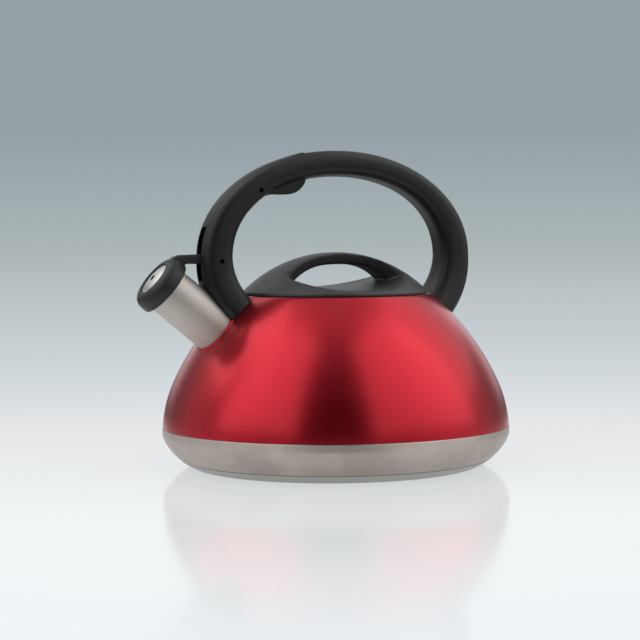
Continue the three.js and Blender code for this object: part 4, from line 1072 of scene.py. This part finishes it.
def back_to_ball(mesh):
    """Points that lie nearly on the ball move onto it; the share fades over a quarter of a
    millimetre, so the radii at the cut edges stay."""
    place = np.empty(len(mesh.vertices) * 3)
    mesh.vertices.foreach_get("co", place)
    place = place.reshape(-1, 3) / MILLI
    arm = place - [0, 0, BALL_CENTRE]
    size = np.linalg.norm(arm, axis=1)
    near = np.clip((BALL_BAND - np.abs(size - BALL)) / BALL_FADE, 0, 1)
    near = near * near * (3 - 2 * near) * (place[:, 2] > LID_SEAT + edge_high)
    place = place + (arm * (BALL / size - 1)[:, None]) * near[:, None]
    flat = place[:, 2] < LID_SEAT + 0.3
    place[flat, 2] = LID_SEAT
    radius = np.maximum(np.hypot(place[:, 0], place[:, 1]), 1e-6)
    place[:, :2] *= np.minimum(1, LID_RADIUS / radius)[:, None]
    mesh.vertices.foreach_set("co", (place * MILLI).ravel())
    mesh.update()
    print("points on the ball", int((near > 0.99).sum()), "of", len(place))


back_to_ball(lid.data)
hand_over(lid, lid_plastic, "lid_plastic", "lid", "lid_cover", sharp=70)

# %% [markdown]
# Under the cover a pressed steel plate hangs into the neck, and a silicone ring with two ribs
# grips the neck's bore: it seals, and it keeps the lid from falling out while pouring.

# %% Lid plate and gasket
SKIRT, PRESSED = NECK_BORE - 3, 0.8
skirt_inside, skirt_end, under_plate = SKIRT - PRESSED, LID_SEAT - 8, LID_SEAT - PRESSED
plate_outline = soften([
    (0, LID_SEAT), (SKIRT, LID_SEAT), (SKIRT, skirt_end), (skirt_inside, skirt_end),
    (skirt_inside, under_plate), (0, under_plate)], [0, 0.7, 0.3, 0.3, 0.3, 0], 5)
lid_plate = skin("lid_plate_pressed", turn(plate_outline, 192))
drill_lid(lid_plate, 8)
hand_over(lid_plate, pan_steel, "brushed_steel", "lid", "lid_plate")

low, high = SKIRT + GAP, NECK_BORE - GAP
gasket_top = LID_SEAT - 2
gasket_line = soften([
    (low, gasket_top - 4), (high, gasket_top - 4), (high, gasket_top - 3),
    ((low + high) / 2, gasket_top - 2), (high, gasket_top - 1), (high, gasket_top),
    (low, gasket_top)], [0.2, 0.4, 0.4, 0.6, 0.4, 0.4, 0.2], 5)
gasket = skin("lid_gasket_ribbed", turn(gasket_line, 192), ring_rows=True)
hand_over(gasket, silicone, "silicone", "lid", "lid_gasket")

# %% [markdown]
# ## Small hardware
# The pins, the rod, the spring, the screws and the washers keep the shapes of the packed
# model, because their shapes are right; they only need a finish.

# %% Finishes for the pieces that stay
BRIGHT = ["push_rod", "trigger_spring", "handle_screw_front", "handle_screw_rear",
          "handle_washer_front", "handle_washer_rear", "lid_screw_1", "lid_screw_2"]
stays = {**dict.fromkeys(BRIGHT, bright_steel), "heat_spreader": aluminium,
         "trigger_pin": black_oxide_and_painted_shade, "arm_pin": black_oxide_and_painted_shade}
for name, finish in stays.items():
    for slot_of_node in frame["nodes"][name].material_slots:
        slot_of_node.material = finish.material
print("nodes with a new finish", len(stays))

# %% [markdown]
# ## Studio
# A pale floor carries the kettle, mirrors it faintly and melts at its edge into the backdrop.

# %% Floor
CAMERA_TURN = np.radians(24.0)
forward = np.array([np.sin(CAMERA_TURN), np.cos(CAMERA_TURN), 0.0])
right = np.array([np.cos(CAMERA_TURN), -np.sin(CAMERA_TURN), 0.0])
radius = joined([0.0], np.geomspace(40, 700, 40))
floor_disc = skin("floor", turn(points(radius, 0.0), 96))
paper = Finish("studio_floor", Specular_IOR_Level=0.0, Roughness=0.6,
               Base_Color=(0.86, 0.87, 0.88))
x, y, _, outwards = paper.about_axis(paper.place)
backwards = x * float(forward[0]) + y * float(forward[1])
# Painted light: the floor glows with its own colour, near white in front of the kettle and greyer
# further back, in place of light that falls off away from the lamps.
pale = paper.ramp(backwards, -0.2, 0.6, (0.0, (0.94, 1.0, 1.0)), (0.5, (0.83, 0.87, 0.90)),
                  (1.0, (0.70, 0.745, 0.775)))
from_camera, from_gloss = paper.named("LightPath", "Is Camera Ray", "Is Glossy Ray")
# Painted shade: in reflections, the floor on the camera's side turns nearly black.
front = paper.level(backwards, -0.22, -0.40) * from_gloss
glow = paper.node(
    "Emission", None, {"Color": paper.blend(front, pale, (0.03, 0.03, 0.033))})
mirror = paper.node(
    "BsdfAnisotropic", None, {"Color": (1.0, 0.91, 0.865), "Roughness": 0.11})
grazing = paper.node("Fresnel", None, {"IOR": 1.45})
surface = Field(paper, paper.shader.outputs[0])
for share, layer in ((from_camera * 0.8 + from_gloss * 0.42 + front * 0.5, glow),
                     (from_camera * grazing * 0.68, mirror),
                     (paper.level(outwards, 0.25, 0.65), paper.node("BsdfTransparent"))):
    surface = paper.node("MixShader", None, {0: share, 1: surface, 2: layer})
output = next(n for n in paper.tree.nodes if n.type == "OUTPUT_MATERIAL")
paper.tree.links.new(surface.socket, output.inputs[0])
floor_disc.data.materials.append(paper.material)

# %% [markdown]
# The world lights the kettle as a dim room: brightest at the sides, a third dimmer low down, and
# dark behind the camera. The camera sees a plain backdrop instead, and so do reflections where
# it stands as a low card behind the kettle.

# %% World: backdrop for the camera, a dim room for the light
world = bpy.data.worlds.new("studio")
world.use_nodes = True
bpy.context.scene.world = world
room = Board(world.node_tree)
direction, = room.named("TexCoord", "Generated")
_, _, up = room.split(direction)
from_camera, from_gloss = room.named("LightPath", "Is Camera Ray", "Is Glossy Ray")
below = 0.0 - room.node("Math", {"operation": "ABSOLUTE"}, {0: up})
seen_height = from_camera * up + (1 - from_camera) * below
backdrop = room.ramp(
    seen_height, -0.17, 0.075, (0.06, (0.84, 0.90, 0.94)), (0.24, (0.753, 0.791, 0.823)),
    (0.42, (0.59, 0.638, 0.665)), (0.65, (0.41, 0.466, 0.48)), (0.92, (0.292, 0.352, 0.381)))
facing = room.node("VectorMath", {"operation": "DOT_PRODUCT"},
                   {0: direction, 1: tuple(-forward)}, output=1)
light = room.ramp(
    facing, -1.0, 1.0, (0.0, (0.20, 0.20, 0.205)), (0.15, (0.25, 0.25, 0.255)),
    (0.29, (0.60, 0.605, 0.61)), (0.5, (0.645, 0.65, 0.655)), (0.63, (0.455, 0.46, 0.465)),
    (0.75, (0.175, 0.175, 0.18)), (0.85, (0.01, 0.01, 0.011)))
low_down = 1 - room.level(up, 0.1, 0.7)
light = room.blend(low_down * 0.36, light, (0.0, 0.0, 0.0))
card = room.level(facing, -0.75, -0.93) * room.level(up, -0.02, 0.03) * room.level(up, 0.5, 0.3)
seen_directly = from_camera + from_gloss * card
sky = room.node("Background", None, {0: room.blend(seen_directly, light, backdrop)})
room.node("OutputWorld", None, {0: sky})

# %% [markdown]
# Two tall soft boxes stand high and far out, left and right in front, and two smaller ones light
# the flanks from behind. The gap between the two tall boxes is the dark band down the middle of
# the lacquer.

# %% Soft boxes
UPWARDS = np.array([0, 0, 1.0])


def set_up(name, data, place, side, top, back):
    """Put a lamp or camera at a place, turned so that its own x, y and z point as given."""
    thing = bpy.data.objects.new(name, data)
    bpy.context.collection.objects.link(thing)
    turned = Matrix(points(side, top, back).tolist())
    thing.matrix_world = Matrix.Translation(place) @ turned.to_4x4()
    return thing


def soft_box(name, turn_from_camera, distance, height, wide, tall, radiance, aim=90.0):
    """Area lamp that faces a point at the height aim on the kettle's axis: turned from the
    camera's side, positive to the right. Its power is radiance * pi * area."""
    turned = np.radians(turn_from_camera)
    beside = -forward * np.cos(turned) + right * np.sin(turned)
    place = beside * distance + UPWARDS * height
    lamp = bpy.data.lights.new(name, "AREA")
    lamp.shape, lamp.size, lamp.size_y = "RECTANGLE", wide, tall
    lamp.energy = radiance * np.pi * wide * tall
    back = unit(place - UPWARDS * aim * MILLI)
    side = unit(np.cross(UPWARDS, back))
    set_up(name, lamp, place, side, np.cross(back, side), back)
    print(name, "power", round(lamp.energy, 1))


soft_box("box_left", -53, 2.5, 3.9, 2.7, 7.2, 1.0, 3900)
soft_box("box_right", 63, 2.5, 3.9, 4.1, 7.2, 0.89, 3900)
soft_box("high_left", -114, 0.95, 1.1, 1.1, 1.0, 1.05)
soft_box("high_right", 126, 0.95, 0.92, 1.3, 1.1, 0.50)

# %% [markdown]
# The camera stands a little above the lid's height, left of the kettle's broad side, and looks
# level, so upright lines stay upright. The shift places the kettle low in the frame.

# %% Camera
DISTANCE, EYE_HEIGHT, FOCAL = 1.141, 0.150, 2.796875
SHIFT_RIGHT, SHIFT_UP, ROLL = -0.0221875, -0.14328125, 0.45
roll = np.radians(ROLL)
eye = bpy.data.cameras.new("camera")
eye.sensor_width = 36.0
eye.lens = FOCAL * eye.sensor_width
eye.shift_x, eye.shift_y = SHIFT_RIGHT, SHIFT_UP
camera_right = right * np.cos(roll) - UPWARDS * np.sin(roll)
camera_up = UPWARDS * np.cos(roll) + right * np.sin(roll)
place = UPWARDS * EYE_HEIGHT - forward * DISTANCE
camera = set_up("camera", eye, place, camera_right, camera_up, -forward)
bpy.context.scene.camera = camera
bpy.context.scene.view_settings.view_transform = "Standard"
